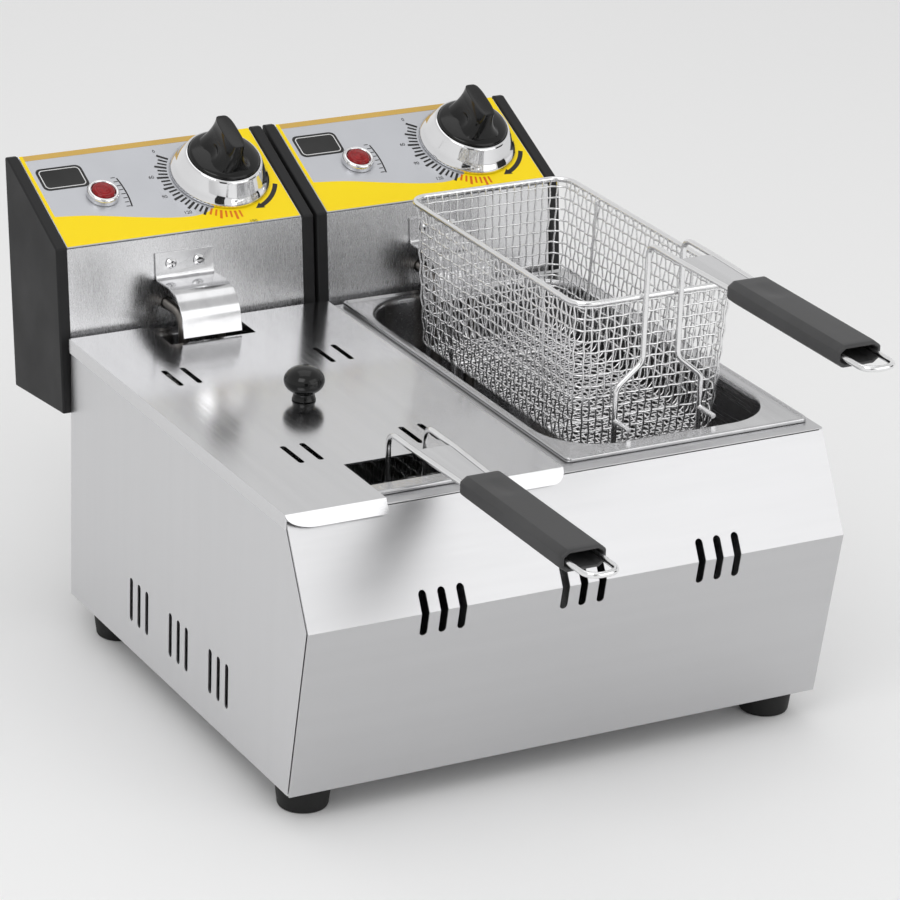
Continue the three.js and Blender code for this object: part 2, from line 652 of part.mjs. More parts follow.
// pieces on the slanted panel: x from the head's middle, y up the slope, z out of the panel
function fasciaLabel() {
  const shape = rectangle(-HEAD_INNER + 2 * FIT, HEAD_INNER - 2 * FIT, 1, PANEL_LENGTH - 2 * SHEET);
  shape.holes.push(disc(KNOB.x, KNOB.up, THERMOSTAT.bush + SLIP));
  shape.holes.push(disc(LAMP.x, LAMP.up, LAMP.tube + SLIP));
  return alongZ(shape, FIT, FIT + LABEL, 5);
}

const KNOB_UNDER = 2 * FIT + LABEL;

function knobSkirt() {
  const { skirt, ring, ringHeight, base } = KNOB;
  const bore = base + FIT;
  return turned([
    [skirt - 3, KNOB_UNDER],
    [skirt, KNOB_UNDER],
    [skirt, KNOB_UNDER + 2],
    [skirt - 2.5, KNOB_UNDER + 5],
    [ring, ringHeight],
    [bore, ringHeight],
    [bore, ringHeight - 4],
    [skirt - 5, KNOB_UNDER + 4],
    [skirt - 3, KNOB_UNDER],
  ], 32);
}

function knobGrip() {
  const { base, height, fin, ringHeight } = KNOB;
  const low = KNOB_UNDER + 5;
  const hub = turned([[0, low], [base, low], [base, ringHeight + 1], [base - 2, ringHeight + 3],
    [0, ringHeight + 5]], 32);
  const envelope = turned([[0, low + 2], [base - 0.5, low + 2], [base - 0.5, ringHeight + 3],
    [base - 4, height - 12], [base - 12, height], [0, height]], 32);
  const finShape = polygon([[-base * 0.62, low + 3], [base * 0.62, low + 3], [base * 0.6, ringHeight + 3],
    [fin + 3, ringHeight + 9], [fin + 0.6, ringHeight + 16], [fin, height - 1.5], [fin - 1.5, height],
    [1.5 - fin, height], [-fin, height - 1.5], [-fin - 0.6, ringHeight + 16],
    [-fin - 3, ringHeight + 9], [-base * 0.6, ringHeight + 3]]);
  const bar = common(alongY(finShape, -base, base), envelope);
  const bore = turned([[0, 0], [SHAFT + FIT, 0], [SHAFT + FIT, ringHeight], [0, ringHeight]], 16);
  return cut(join(hub, [bar]), [bore]);
}

function thermostat() {
  const { width, length, depth, bush } = THERMOSTAT;
  const under = -SHEET - FIT;
  const body = alongZ(rectangle(-width / 2, width / 2, -length / 2, length / 2), under - depth, under);
  const stem = turned([[0, under - 1], [bush, under - 1], [bush, FIT], [SHAFT, FIT],
    [SHAFT, KNOB.ringHeight - 3], [0, KNOB.ringHeight - 3]], 16);
  return join(body, [stem]);
}

const LAMP_SEAT = 2 * FIT + LABEL;

function lampBezel() {
  const { bezel, lens, tube, height, depth } = LAMP;
  const bore = tube - 1.4;
  const top = LAMP_SEAT + height - 1;
  return turned([
    [bore, -depth], [tube, -depth], [tube, LAMP_SEAT], [bezel, LAMP_SEAT], [bezel, top - 1.5],
    [bezel - 1.5, top], [lens + FIT, top], [lens + FIT, LAMP_SEAT + 2], [bore, LAMP_SEAT + 2],
    [bore, -depth],
  ], 20);
}

function lampLens() {
  const low = LAMP_SEAT + 2 + FIT;
  return turned([[0, low], [LAMP.lens, low], [LAMP.lens, low + 2.6], [LAMP.lens - 2, low + 4.2],
    [LAMP.lens - 5, low + 5], [0, low + 5.3]], 16);
}

const guardScrewHeight = () => GUARD.top - 8;

function elementGuard() {
  const { half, thickness, top, out, low, screw } = GUARD;
  const section = sheetSection(
    [
      [-FIT, top], [-FIT, top - 16], [-1.5, top - 19], [-4.5, top - 20], [-out + 22, top - 20.8],
      [-out + 11, top - 24.5], [-out + 4.5, top - 31], [-out + 1.5, top - 38], [-out, low],
    ],
    -thickness,
  );
  const strip = alongX(section, -half, half);
  const holes = [-screw, screw].map((x) =>
    alongY(disc(x, guardScrewHeight(), SCREW.shank + SLIP / 2), -thickness - 2, 1, 4));
  return cut(strip, holes);
}

// cross-head screw, its axis along y, the head towards the operator
function guardScrew() {
  const { head, headHeight, shank, length } = SCREW;
  const under = GUARD.thickness + 2 * FIT;
  const body = turned([[0, -length], [shank, -length], [shank, under], [head, under],
    [head, under + headHeight * 0.4], [head * 0.6, under + headHeight], [0, under + headHeight]], 16);
  const recess = [0, Math.PI / 2].map((angle) =>
    alongZ(rectangle(-head * 0.55, head * 0.55, -0.5, 0.5), under + headHeight * 0.45, under + headHeight + 1)
      .rotateZ(angle));
  return cut(body, recess).rotateX(Math.PI / 2);
}

// ---------------------------------------------------------------- heater, upright frame of the casing
function heatingElement(x) {
  const { leg, down, floor, outer, inner } = ELEMENT;
  const low = TANK_FLOOR + floor;
  const inHead = leanY(ELEMENT_INSIDE, frontHeight(LEG_HEIGHT));
  const far = WELL_FRONT + ELEMENT_FRONT;
  const half = [
    [leg, inHead, LEG_HEIGHT],
    [leg, -down, LEG_HEIGHT],
    [leg, -down, low],
    [outer, -down, low],
    [outer, far, low],
    [inner, far, low],
    [inner, -ELEMENT_BACK, low],
  ];
  const mirrored = half.map(([u, y, z]) => [-u, y, z]).reverse();
  return wire([...half, ...mirrored], ELEMENT.radius, ELEMENT_BEND, 8, 3).translate(x, 0, 0);
}

function sensorBulb(x) {
  const low = TANK_FLOOR + BULB.low;
  const inHead = leanY(ELEMENT_INSIDE, frontHeight(LEG_HEIGHT));
  const capillary = wire(
    [[0, inHead, LEG_HEIGHT], [0, -BULB.back, LEG_HEIGHT], [0, -BULB.back, low + BULB.length / 2]],
    BULB.capillary, 8, 6, 3);
  const bulb = turned([[0, low], [BULB.radius - 1, low], [BULB.radius, low + 1],
    [BULB.radius, low + BULB.length - 3], [BULB.capillary, low + BULB.length],
    [0, low + BULB.length]], 12).translate(0, -BULB.back, 0);
  return join(bulb, [capillary]).translate(x, 0, 0);
}

function terminalBlock() {
  const { half, depth, height } = TERMINAL;
  const start = ELEMENT_INSIDE + 8;
  const middle = frontHeight(LEG_HEIGHT);
  const block = alongY(rectangle(-half, half, middle - height / 2, middle + height / 2), start, start + depth);
  const wells = [-1, 0, 1].map((step) =>
    alongZ(rectangle(step * 18 - 6, step * 18 + 6, start + 3, start + depth - 3),
      middle, middle + height));
  return cut(block, wells);
}

function cableGland() {
  const { thread, nut, bore, out } = GLAND;
  return turned([
    [bore, -8], [thread, -8], [thread, FIT], [nut, FIT], [nut, 6], [nut - 1.5, 7], [nut - 2, out - 4],
    [bore + 2, out], [bore, out], [bore, -8],
  ], 16).rotateX(-Math.PI / 2);
}

// ---------------------------------------------------------------- assembly
const fryer = new THREE.Group();

add(fryer, 'casing_front', casingFront(), STEEL);
add(fryer, 'casing_left_side', casingSide(-1), STEEL);
add(fryer, 'casing_right_side', casingSide(1), STEEL);
add(fryer, 'casing_back', casingBack(), STEEL);
add(fryer, 'base_plate', basePlate(), BRACKET_STEEL);
add(fryer, 'deck_frame', deckFrame(), STEEL);
for (const { name, x, y } of FOOT_PLACES) {
  add(fryer, name, foot(), RUBBER).position.set(x, y, 0);
}

function addBasket(side) {
  const basket = new THREE.Group();
  basket.position.set(side.x + side.basketShift, HANDLE_Y, DECK - BASKET_RIM_DROP + side.raise);
  add(basket, `basket_rim_${side.name}`, basketRim(), WIRE_STEEL);
  add(basket, `basket_mesh_${side.name}`, basketMesh(), WIRE_STEEL);
  add(basket, `basket_handle_wire_${side.name}`, basketHandleWire(), WIRE_STEEL);
  add(basket, `basket_strap_${side.name}`, basketStrap(), WIRE_STEEL);
  add(basket, `basket_grip_${side.name}`, basketGrip(), DARK_PLASTIC);
  fryer.add(basket);
}

function addPanelPieces(head, name) {
  const panel = new THREE.Group();
  panel.position.set(0, 0, HEAD_FRONT);
  panel.rotation.x = PANEL_SLOPE;
  add(panel, `fascia_label_${name}`, fasciaLabel(), LABEL_FILM);
  add(panel, `knob_skirt_${name}`, knobSkirt(), CHROME).position.set(KNOB.x, KNOB.up, 0);
  add(panel, `knob_grip_${name}`, knobGrip(), BLACK_PLASTIC).position.set(KNOB.x, KNOB.up, 0);
  add(panel, `thermostat_${name}`, thermostat(), BRACKET_STEEL).position.set(KNOB.x, KNOB.up, 0);
  add(panel, `lamp_bezel_${name}`, lampBezel(), CHROME).position.set(LAMP.x, LAMP.up, 0);
  add(panel, `lamp_lens_${name}`, lampLens(), LENS_RED).position.set(LAMP.x, LAMP.up, 0);
  head.add(panel);
}

function addHead(side) {
  const { name } = side;
  const middle = side.x + side.creep;
  const head = new THREE.Group();
  head.position.set(middle, HEAD_Y, HEAD_FLOOR);
  head.rotation.x = -HEAD_LEAN;
  add(head, `head_shell_${name}`, headShell(), STEEL);
  add(head, `head_back_cover_${name}`, headBackCover(), STEEL);
  add(head, `head_cheek_outer_${name}`, headCheek(), DARK_PLASTIC).position.x =
    name === 'left' ? -HEAD_WIDTH / 2 : HEAD_INNER;
  add(head, `head_cheek_inner_${name}`, headCheek(), DARK_PLASTIC).position.x =
    name === 'left' ? HEAD_INNER : -HEAD_WIDTH / 2;
  add(head, `element_guard_${name}`, elementGuard(), STEEL).position.x = GUARD.x;
  for (const [label, sign] of [['a', -1], ['b', 1]]) {
    add(head, `guard_screw_${label}_${name}`, guardScrew(), CHROME)
      .position.set(GUARD.x + sign * GUARD.screw, 0, guardScrewHeight());
  }
  add(head, `terminal_block_${name}`, terminalBlock(), CERAMIC).position.x = GUARD.x;
  add(head, `cable_gland_${name}`, cableGland(), BLACK_PLASTIC).position.set(0, HEAD_DEPTH, GLAND.up);
  addPanelPieces(head, name);
  fryer.add(head);
  add(fryer, `head_bracket_${name}`, headBracket(middle), BRACKET_STEEL);
  add(fryer, `heating_element_${name}`, heatingElement(middle + GUARD.x), ELEMENT_STEEL);
  add(fryer, `sensor_bulb_${name}`, sensorBulb(middle + GUARD.x), WIRE_STEEL);
}

for (const side of SIDES) {
  add(fryer, `tank_${side.name}`, tank(), TANK_STEEL).position.x = side.x;
  addHead(side);
  addBasket(side);
}

add(fryer, 'lid', lid(SIDES[0]), STEEL);
add(fryer, 'lid_knob', lidKnob(), BLACK_PLASTIC).position.set(SIDES[0].x, LID_KNOB_Y, LID_TOP);

fryer.updateMatrixWorld(true);
const box = new THREE.Box3().setFromObject(fryer, true);
const centre = box.getCenter(new THREE.Vector3());
fryer.position.set(-centre.x, -centre.y, -box.min.z);
fryer.updateMatrixWorld(true);

export default fryer;
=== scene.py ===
"""Looks of a twin countertop deep fryer, laid out as an add-on and run as a script.

Everything is in metres with +Z up, in the frame of the packed model.
"""

import json
import math

import bmesh
import bpy
from bpy.props import FloatProperty, FloatVectorProperty, PointerProperty
from mathutils import Matrix, Vector


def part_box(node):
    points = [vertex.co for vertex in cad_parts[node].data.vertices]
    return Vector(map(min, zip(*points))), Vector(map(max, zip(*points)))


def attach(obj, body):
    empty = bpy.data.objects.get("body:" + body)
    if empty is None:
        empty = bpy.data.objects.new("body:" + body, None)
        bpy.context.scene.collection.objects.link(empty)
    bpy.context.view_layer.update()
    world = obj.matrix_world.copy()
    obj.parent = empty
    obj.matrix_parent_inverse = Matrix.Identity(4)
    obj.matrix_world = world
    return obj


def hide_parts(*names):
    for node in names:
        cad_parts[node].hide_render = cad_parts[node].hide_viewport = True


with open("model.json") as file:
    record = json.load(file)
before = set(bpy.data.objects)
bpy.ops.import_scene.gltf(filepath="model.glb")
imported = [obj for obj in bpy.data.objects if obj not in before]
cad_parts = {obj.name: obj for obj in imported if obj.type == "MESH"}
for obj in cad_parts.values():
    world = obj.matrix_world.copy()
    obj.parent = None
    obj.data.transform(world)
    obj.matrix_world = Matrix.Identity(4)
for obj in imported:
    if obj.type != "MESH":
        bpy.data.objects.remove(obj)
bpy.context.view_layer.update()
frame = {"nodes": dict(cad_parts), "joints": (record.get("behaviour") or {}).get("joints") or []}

bl_info = {
    "name": "Twin Deep Fryer",
    "version": (1, 0, 0),
    "blender": (4, 5, 0),
    "location": "3D View > Sidebar > Fryer",
    "description": "Builds a twin countertop deep fryer with woven baskets and control heads",
    "category": "Object",
}

MM = 0.001
SIDES = ("left", "right")
FAMILY = "Fryer"


# ---------------------------------------------------------------- places taken from the frame
def joint_named(name):
    for joint in frame["joints"]:
        if joint["name"] == name:
            return joint
    raise RuntimeError(f"the frame has no joint named {name}")


KNOB_ON_PANEL = Vector((48 * MM, 53 * MM))  # knob's axis from the panel's middle and lower edge
LAMP_ON_PANEL = Vector((-45 * MM, 47.5 * MM))
HEAD_LEAN = math.radians(6)  # how far the heads lean back
RIM_TO_HANDLE = 2.4 * MM  # from the basket's rim wire to the plane of the handle wires
X_AXIS = Vector((1, 0, 0))


def middle_of(node, z=0.0):
    """Matrix of the middle of a node's outline, at the height z."""
    low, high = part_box(node)
    return Matrix.Translation(((low.x + high.x) / 2, (low.y + high.y) / 2, z))


def axes_matrix(x_axis, y_axis, z_axis, origin):
    rows = [[x_axis[i], y_axis[i], z_axis[i], origin[i]] for i in range(3)]
    return Matrix([*rows, [0, 0, 0, 1]])


def panel_place(side, x=0.0, up=0.0):
    """Matrix of a point on the slanted panel: X to the right, Y up the slope, Z out of it."""
    joint = joint_named(f"knob_{side}_turn")
    out = Vector(joint["axis"]).normalized()
    slope = out.cross(X_AXIS)
    origin = Vector(joint["pos_m"]) - KNOB_ON_PANEL.x * X_AXIS - KNOB_ON_PANEL.y * slope
    return axes_matrix(X_AXIS, slope, out, origin + x * X_AXIS + up * slope)


def basket_place(side):
    """Matrix of a basket: X from its middle, Y from its handle wires, Z from its rim wire."""
    low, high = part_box(f"basket_rim_{side}")
    return Matrix.Translation(
        ((low.x + high.x) / 2, low.y - RIM_TO_HANDLE, (low.z + high.z) / 2))


# ---------------------------------------------------------------- what a user may change
class FryerSizes(bpy.types.PropertyGroup):
    """Sizes of the fryer's details"""

    edge_round: FloatProperty(
        name="Edge rounding", description="Rounding of folded sheet edges",
        default=0.4 * MM, min=0.0, unit="LENGTH")
    weave_columns: FloatProperty(
        name="Weave columns", description="Distance between the upright wires of the baskets",
        default=5.8 * MM, min=3 * MM, unit="LENGTH")
    weave_rows: FloatProperty(
        name="Weave rows", description="Distance between the level wires of the baskets",
        default=8.2 * MM, min=3 * MM, unit="LENGTH")
    weave_wire: FloatProperty(
        name="Weave wire", description="Radius of the woven wires",
        default=0.7 * MM, min=0.2 * MM, unit="LENGTH")
    handle_wire: FloatProperty(
        name="Handle wire", description="Radius of the rim and handle wires",
        default=2.0 * MM, min=0.5 * MM, unit="LENGTH")
    grain_depth: FloatProperty(
        name="Grain depth", description="Depth of the brushed grain",
        default=0.008 * MM, min=0.0, unit="LENGTH")
    camera_distance: FloatProperty(
        name="Camera distance", description="From the camera to the middle of the fryer",
        default=2.8486, min=0.5, unit="LENGTH")


def colour(name, description, default):
    return FloatVectorProperty(
        name=name, description=description, default=default, size=3, min=0.0, max=1.0,
        subtype="COLOR")


class FryerColours(bpy.types.PropertyGroup):
    """Colours of the fryer's finishes"""

    steel: colour("Steel", "Brushed stainless sheet", (0.70, 0.70, 0.71))
    wire: colour("Wire", "Polished basket wire", (0.90, 0.90, 0.905))
    chrome: colour("Chrome", "Bright plated pieces", (0.86, 0.86, 0.87))
    heater: colour("Heater", "Heat-darkened heater tube", (0.22, 0.205, 0.19))
    cheek: colour("Cheeks", "Dark moulded end cheeks", (0.014, 0.014, 0.0145))
    grip: colour("Grips", "Dark moulded grips", (0.042, 0.042, 0.043))
    knob: colour("Knobs", "Glossy black knobs", (0.004, 0.004, 0.004))
    yellow: colour("Band yellow", "Lower band of the panels", (0.95, 0.72, 0.004))
    ochre: colour("Band ochre", "Upper band of the panels", (0.62, 0.40, 0.10))
    silver: colour("Panel silver", "Ground of the panels", (0.56, 0.57, 0.60))
    heat: colour("Heat marks", "Hot end of the dial's marks", (0.62, 0.10, 0.01))
    lens: colour("Lamp lens", "Red pilot lamps", (0.20, 0.004, 0.006))
    rubber: colour("Rubber", "Feet", (0.012, 0.012, 0.012))
    floor: colour("Floor", "Studio floor", (0.90, 0.90, 0.90))


def sizes():
    return bpy.context.scene.fryer_sizes


def colours():
    return bpy.context.scene.fryer_colours


# ---------------------------------------------------------------- node groups
def new_group(name, inputs, outputs):
    group = bpy.data.node_groups.new(name, "ShaderNodeTree")
    for label, kind, value in inputs:
        socket = group.interface.new_socket(name=label, in_out="INPUT", socket_type=kind)
        socket.default_value = value
    for label, kind in outputs:
        group.interface.new_socket(name=label, in_out="OUTPUT", socket_type=kind)
    return group, group.nodes.new("NodeGroupInput"), group.nodes.new("NodeGroupOutput")


def noise_node(nodes, detail):
    noise = nodes.new("ShaderNodeTexNoise")
    noise.inputs["Scale"].default_value = 1.0
    noise.inputs["Detail"].default_value = detail
    return noise


def grain_group():
    """Parallel scratches, round 0.5, that change quickly across them and slowly along them."""
    name = f"{FAMILY} grain"
    if name in bpy.data.node_groups:
        return bpy.data.node_groups[name]
    group, given, result = new_group(
        name,
        [("Stretch", "NodeSocketVector", (30.0, 1500.0, 1500.0)),
         ("Contrast", "NodeSocketFloat", 1.0)],
        [("Scratches", "NodeSocketFloat"), ("Bands", "NodeSocketFloat")],
    )
    nodes, link = group.nodes, group.links.new
    place = nodes.new("ShaderNodeTexCoord")
    stretch = nodes.new("ShaderNodeVectorMath")
    stretch.operation = "MULTIPLY"
    fine = noise_node(nodes, 3.0)
    coarse_step = nodes.new("ShaderNodeVectorMath")
    coarse_step.operation = "SCALE"
    coarse_step.inputs["Scale"].default_value = 0.06
    coarse = noise_node(nodes, 2.0)
    centre = nodes.new("ShaderNodeMath")
    centre.operation = "SUBTRACT"
    centre.inputs[1].default_value = 0.5
    scale = nodes.new("ShaderNodeMath")
    scale.operation = "MULTIPLY_ADD"
    scale.inputs[2].default_value = 0.5
    link(place.outputs["Object"], stretch.inputs[0])
    link(given.outputs["Stretch"], stretch.inputs[1])
    link(stretch.outputs[0], fine.inputs["Vector"])
    link(stretch.outputs[0], coarse_step.inputs[0])
    link(coarse_step.outputs[0], coarse.inputs["Vector"])
    link(fine.outputs["Fac"], centre.inputs[0])
    link(centre.outputs[0], scale.inputs[0])
    link(given.outputs["Contrast"], scale.inputs[1])
    link(scale.outputs[0], result.inputs["Scratches"])
    link(coarse.outputs["Fac"], result.inputs["Bands"])
    return group


def speckle_group():
    """Fine even grain of a moulding, with wide faint patches of handling."""
    name = f"{FAMILY} speckle"
    if name in bpy.data.node_groups:
        return bpy.data.node_groups[name]
    group, given, result = new_group(
        name,
        [("Grain size", "NodeSocketFloat", 2200.0), ("Patch size", "NodeSocketFloat", 28.0)],
        [("Grain", "NodeSocketFloat"), ("Patches", "NodeSocketFloat")],
    )
    nodes, link = group.nodes, group.links.new
    place = nodes.new("ShaderNodeTexCoord")
    for size, detail, out in (("Grain size", 2.0, "Grain"), ("Patch size", 3.0, "Patches")):
        noise = noise_node(nodes, detail)
        link(place.outputs["Object"], noise.inputs["Vector"])
        link(given.outputs[size], noise.inputs["Scale"])
        link(noise.outputs["Fac"], result.inputs[out])
    return group


# ---------------------------------------------------------------- materials
def principled(name):
    material = bpy.data.materials.new(f"{FAMILY} {name}")
    material.use_nodes = True
    tree = material.node_tree
    shader = next(n for n in tree.nodes if n.type == "BSDF_PRINCIPLED")
    return material, tree, shader


def group_node(tree, group, **values):
    node = tree.nodes.new("ShaderNodeGroup")
    node.node_tree = group
    for label, value in values.items():
        node.inputs[label.replace("_", " ").capitalize()].default_value = value
    return node


def spread(tree, source, low, high, from_low=0.3, from_high=0.7):
    """The source value, spread from low to high."""
    node = tree.nodes.new("ShaderNodeMapRange")
    node.inputs["From Min"].default_value = from_low
    node.inputs["From Max"].default_value = from_high
    node.inputs["To Min"].default_value = low
    node.inputs["To Max"].default_value = high
    tree.links.new(source, node.inputs["Value"])
    return node.outputs["Result"]


def two_colours(tree, factor, first, second):
    node = tree.nodes.new("ShaderNodeMix")
    node.data_type = "RGBA"
    node.inputs[6].default_value = (*first, 1.0)
    node.inputs[7].default_value = (*second, 1.0)
    tree.links.new(factor, node.inputs[0])
    return node.outputs[2]


def bump(tree, height, distance, shader):
    node = tree.nodes.new("ShaderNodeBump")
    node.inputs["Strength"].default_value = 1.0
    node.inputs["Distance"].default_value = distance
    tree.links.new(height, node.inputs["Height"])
    tree.links.new(node.outputs["Normal"], shader.inputs["Normal"])


def darker(rgb, share):
    return tuple(c * share for c in rgb)


SCRATCH_ACROSS = 1500.0  # scratches in a metre, across them
SCRATCH_ALONG = 22.0  # and along them
STEEL_PATCHES = (0.35, 0.65)  # where the slow bands of a sheet turn from light to dark


def brushed(name, rgb, along, rough, depth=None, shade=0.9):
    """Brushed sheet whose scratches run along one axis: 0 for X, 1 for Y, 2 for Z."""
    material, tree, shader = principled(name)
    stretch = [SCRATCH_ACROSS] * 3
    stretch[along] = SCRATCH_ALONG
    grain = group_node(tree, grain_group(), contrast=1.0)
    grain.inputs["Stretch"].default_value = stretch
    bands = spread(tree, grain.outputs["Bands"], 0.0, 1.0, *STEEL_PATCHES)
    tree.links.new(
        two_colours(tree, bands, rgb, darker(rgb, shade)), shader.inputs["Base Color"])
    tree.links.new(
        spread(tree, grain.outputs["Scratches"], *rough), shader.inputs["Roughness"])
    shader.inputs["Metallic"].default_value = 1.0
    bump(tree, grain.outputs["Scratches"], depth or sizes().grain_depth, shader)
    return material


SOCKETS = {
    "metallic": "Metallic", "coat": "Coat Weight", "coat_rough": "Coat Roughness",
    "gloss": "Specular IOR Level",
}


def speckled(name, rgb, other, rough, depth, grain, patch, rough_by="Patches", bump_by="Grain",
             spread_patches=True, **sockets):
    """A finish that drifts in patches from one colour to the other, over a fine grain."""
    material, tree, shader = principled(name)
    speckle = group_node(tree, speckle_group(), grain_size=grain, patch_size=patch)
    patches = speckle.outputs["Patches"]
    if spread_patches:
        patches = spread(tree, patches, 0.0, 1.0)
    tree.links.new(two_colours(tree, patches, rgb, other), shader.inputs["Base Color"])
    tree.links.new(
        spread(tree, speckle.outputs[rough_by], *rough), shader.inputs["Roughness"])
    for label, value in sockets.items():
        shader.inputs[SOCKETS[label]].default_value = value
    bump(tree, speckle.outputs[bump_by], depth, shader)
    return material


def polished(name, rgb, rough, patch=60.0):
    """Bright metal with faint wipe marks."""
    return speckled(name, rgb, darker(rgb, 0.9), rough, 0.002 * MM, 900.0, patch,
                    spread_patches=False, metallic=1.0)


def moulded(name, rgb, rough, depth, grain=2200.0, coat=0.0, light=1.5, gloss=0.3):
    """Moulded plastic or rubber with a fine grain and faint handling patches."""
    other = tuple(min(1.0, c * light) for c in rgb)
    return speckled(name, rgb, other, rough, depth, grain, 24.0,
                    coat=coat, coat_rough=0.05, gloss=gloss)


def printed(name, rgb, other=None, metallic=0.0, rough=(0.30, 0.42), gloss=0.18):
    """Satin printed film."""
    return speckled(name, rgb, other or darker(rgb, 0.93), rough, 0.004 * MM, 1600.0, 16.0,
                    rough_by="Grain", metallic=metallic, gloss=gloss)


def lamp_red(name, rgb):
    """Clear red lens with a pebbled inside."""
    other = (min(1, rgb[0] * 1.6), rgb[1] * 1.5, rgb[2] * 1.5)
    return speckled(name, rgb, other, (0.06, 0.14), 0.05 * MM, 700.0, 420.0, rough_by="Grain",
                    bump_by="Patches", coat=0.15, coat_rough=0.03, gloss=0.25)


# Each finish: the function that makes it, and the values that follow its name.
FINISHES = {
    # The front, back and deck sheets take the steel darkened to 0.84: painted shade, so that they
    # read darker than the lid under the same lamps.
    "front steel": (brushed, lambda c: (darker(c.steel, 0.84), 0, (0.30, 0.36), None, 0.985)),
    "side steel": (
        brushed, lambda c: (darker(c.steel, 0.98), 2, (0.32, 0.38), 0.005 * MM, 0.99)),
    "lid steel": (brushed, lambda c: (c.steel, 1, (0.14, 0.20), 0.002 * MM, 0.97)),
    "tank steel": (brushed, lambda c: (darker(c.steel, 0.86), 1, (0.16, 0.28), 0.006 * MM)),
    "head steel": (
        brushed, lambda c: (darker(c.steel, 0.97), 2, (0.22, 0.30), 0.003 * MM, 0.95)),
    "guard steel": (brushed, lambda c: (c.steel, 1, (0.10, 0.20), 0.004 * MM)),
    "bracket steel": (brushed, lambda c: (darker(c.steel, 0.7), 0, (0.35, 0.5))),
    "wire": (polished, lambda c: (c.wire, (0.12, 0.24))),
    "chrome": (polished, lambda c: (c.chrome, (0.03, 0.08))),
    "heater tube": (polished, lambda c: (c.heater, (0.32, 0.5), 90.0)),
    "cheek plastic": (
        moulded, lambda c: (c.cheek, (0.42, 0.58), 0.03 * MM, 2200.0, 0.0, 1.5, 0.2)),
    "grip plastic": (moulded, lambda c: (c.grip, (0.38, 0.52), 0.035 * MM, 1800.0)),
    "knob plastic": (moulded, lambda c: (c.knob, (0.10, 0.20), 0.004 * MM, 900.0, 0.08)),
    "gland plastic": (moulded, lambda c: (darker(c.cheek, 0.5), (0.4, 0.5), 0.02 * MM)),
    "rubber": (moulded, lambda c: (c.rubber, (0.6, 0.8), 0.06 * MM, 1300.0)),
    "ceramic": (
        moulded, lambda c: ((0.74, 0.70, 0.62), (0.4, 0.6), 0.05 * MM, 900.0, 0.0, 1.1)),
    "silver film": (printed, lambda c: (c.silver, None, 0.55, (0.30, 0.40))),
    "yellow film": (
        printed, lambda c: (c.yellow, (c.yellow[0], c.yellow[1] * 0.96, c.yellow[2]))),
    "ochre film": (printed, lambda c: (c.ochre,)),
    "black ink": (printed, lambda c: ((0.012, 0.012, 0.012), (0.03, 0.03, 0.03))),
    "white ink": (printed, lambda c: ((0.75, 0.75, 0.75),)),
    "heat ink": (printed, lambda c: (c.heat, (0.75, 0.2, 0.01))),
    "lamp red": (lamp_red, lambda c: (c.lens,)),
}


def finish_of(name):
    """The named finish, made once."""
    existing = bpy.data.materials.get(f"{FAMILY} {name}")
    if existing:
        return existing
    make, values = FINISHES[name]
    return make(name, *values(colours()))


# ---------------------------------------------------------------- mesh helpers
def give(obj, body, slot, *nodes):
    """Puts a finished piece on its body, with its record slot, standing for its CAD nodes."""
    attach(obj, body)
    if nodes:
        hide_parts(*nodes)
    return obj


def object_of(name, mesh, *finishes, smooth_angle=None):
    for finish in finishes:
        mesh.materials.append(finish_of(finish))
    if smooth_angle is not None:
        mesh.shade_smooth()
        mesh.set_sharp_from_angle(angle=math.radians(smooth_angle))
    obj = bpy.data.objects.new(name, mesh)
    bpy.context.scene.collection.objects.link(obj)
    return obj


def piece(name, mesh, finish, smooth_angle, body, slot, *nodes):
    """An object with one finish, on its body and standing for its CAD nodes."""
    return give(object_of(name, mesh, finish, smooth_angle=smooth_angle), body, slot, *nodes)


def mesh_of(name, points, faces, matrix=None):
    mesh = bpy.data.meshes.new(name)
    mesh.from_pydata([tuple(p) for p in points], [], faces)
    if matrix is not None:
        mesh.transform(matrix)
    mesh.validate()
    mesh.update()
    return mesh


def joined(name, meshes):
    """One mesh from several. A mesh given as (mesh, index) takes that material index."""
    combined = bmesh.new()
    for item in meshes:
        mesh, index = item if isinstance(item, tuple) else (item, 0)
        before = len(combined.faces)
        combined.from_mesh(mesh)
        combined.faces.ensure_lookup_table()
        for face in combined.faces[before:]:
            face.material_index = index
        bpy.data.meshes.remove(mesh)
    mesh = bpy.data.meshes.new(name)
    combined.to_mesh(mesh)
    combined.free()
    return mesh


def baked(obj):
    """Applies the object's modifiers to its mesh."""
    bpy.context.view_layer.update()
    evaluated = obj.evaluated_get(bpy.context.evaluated_depsgraph_get())
    mesh = bpy.data.meshes.new_from_object(evaluated)
    obj.modifiers.clear()
    obj.data = mesh
    return obj


def refined(node, body, slot, finish, rounding=None, segments=2, smooth=35):
    """A CAD node's own shape with merged flats and rounded edges, standing for the node."""
    source = frame["nodes"][node].data
    shape = bmesh.new()
    shape.from_mesh(source)
    bmesh.ops.remove_doubles(shape, verts=shape.verts, dist=0.01 * MM)
    bmesh.ops.dissolve_limit(
        shape, angle_limit=math.radians(0.6), verts=shape.verts, edges=shape.edges)
    mesh = bpy.data.meshes.new(f"{node}_shape")
    shape.to_mesh(mesh)
    shape.free()
    obj = object_of(f"{node}_piece", mesh, finish, smooth_angle=smooth)
    rounding = sizes().edge_round if rounding is None else rounding
    if rounding > 0:
        bevel = obj.modifiers.new("round", "BEVEL")
        bevel.width = rounding
        bevel.segments = segments
        bevel.limit_method = "ANGLE"
        bevel.angle_limit = math.radians(32)
    weighted = obj.modifiers.new("flat faces", "WEIGHTED_NORMAL")
    weighted.keep_sharp = True
    weighted.weight = 60
    return give(baked(obj), body, slot, node)


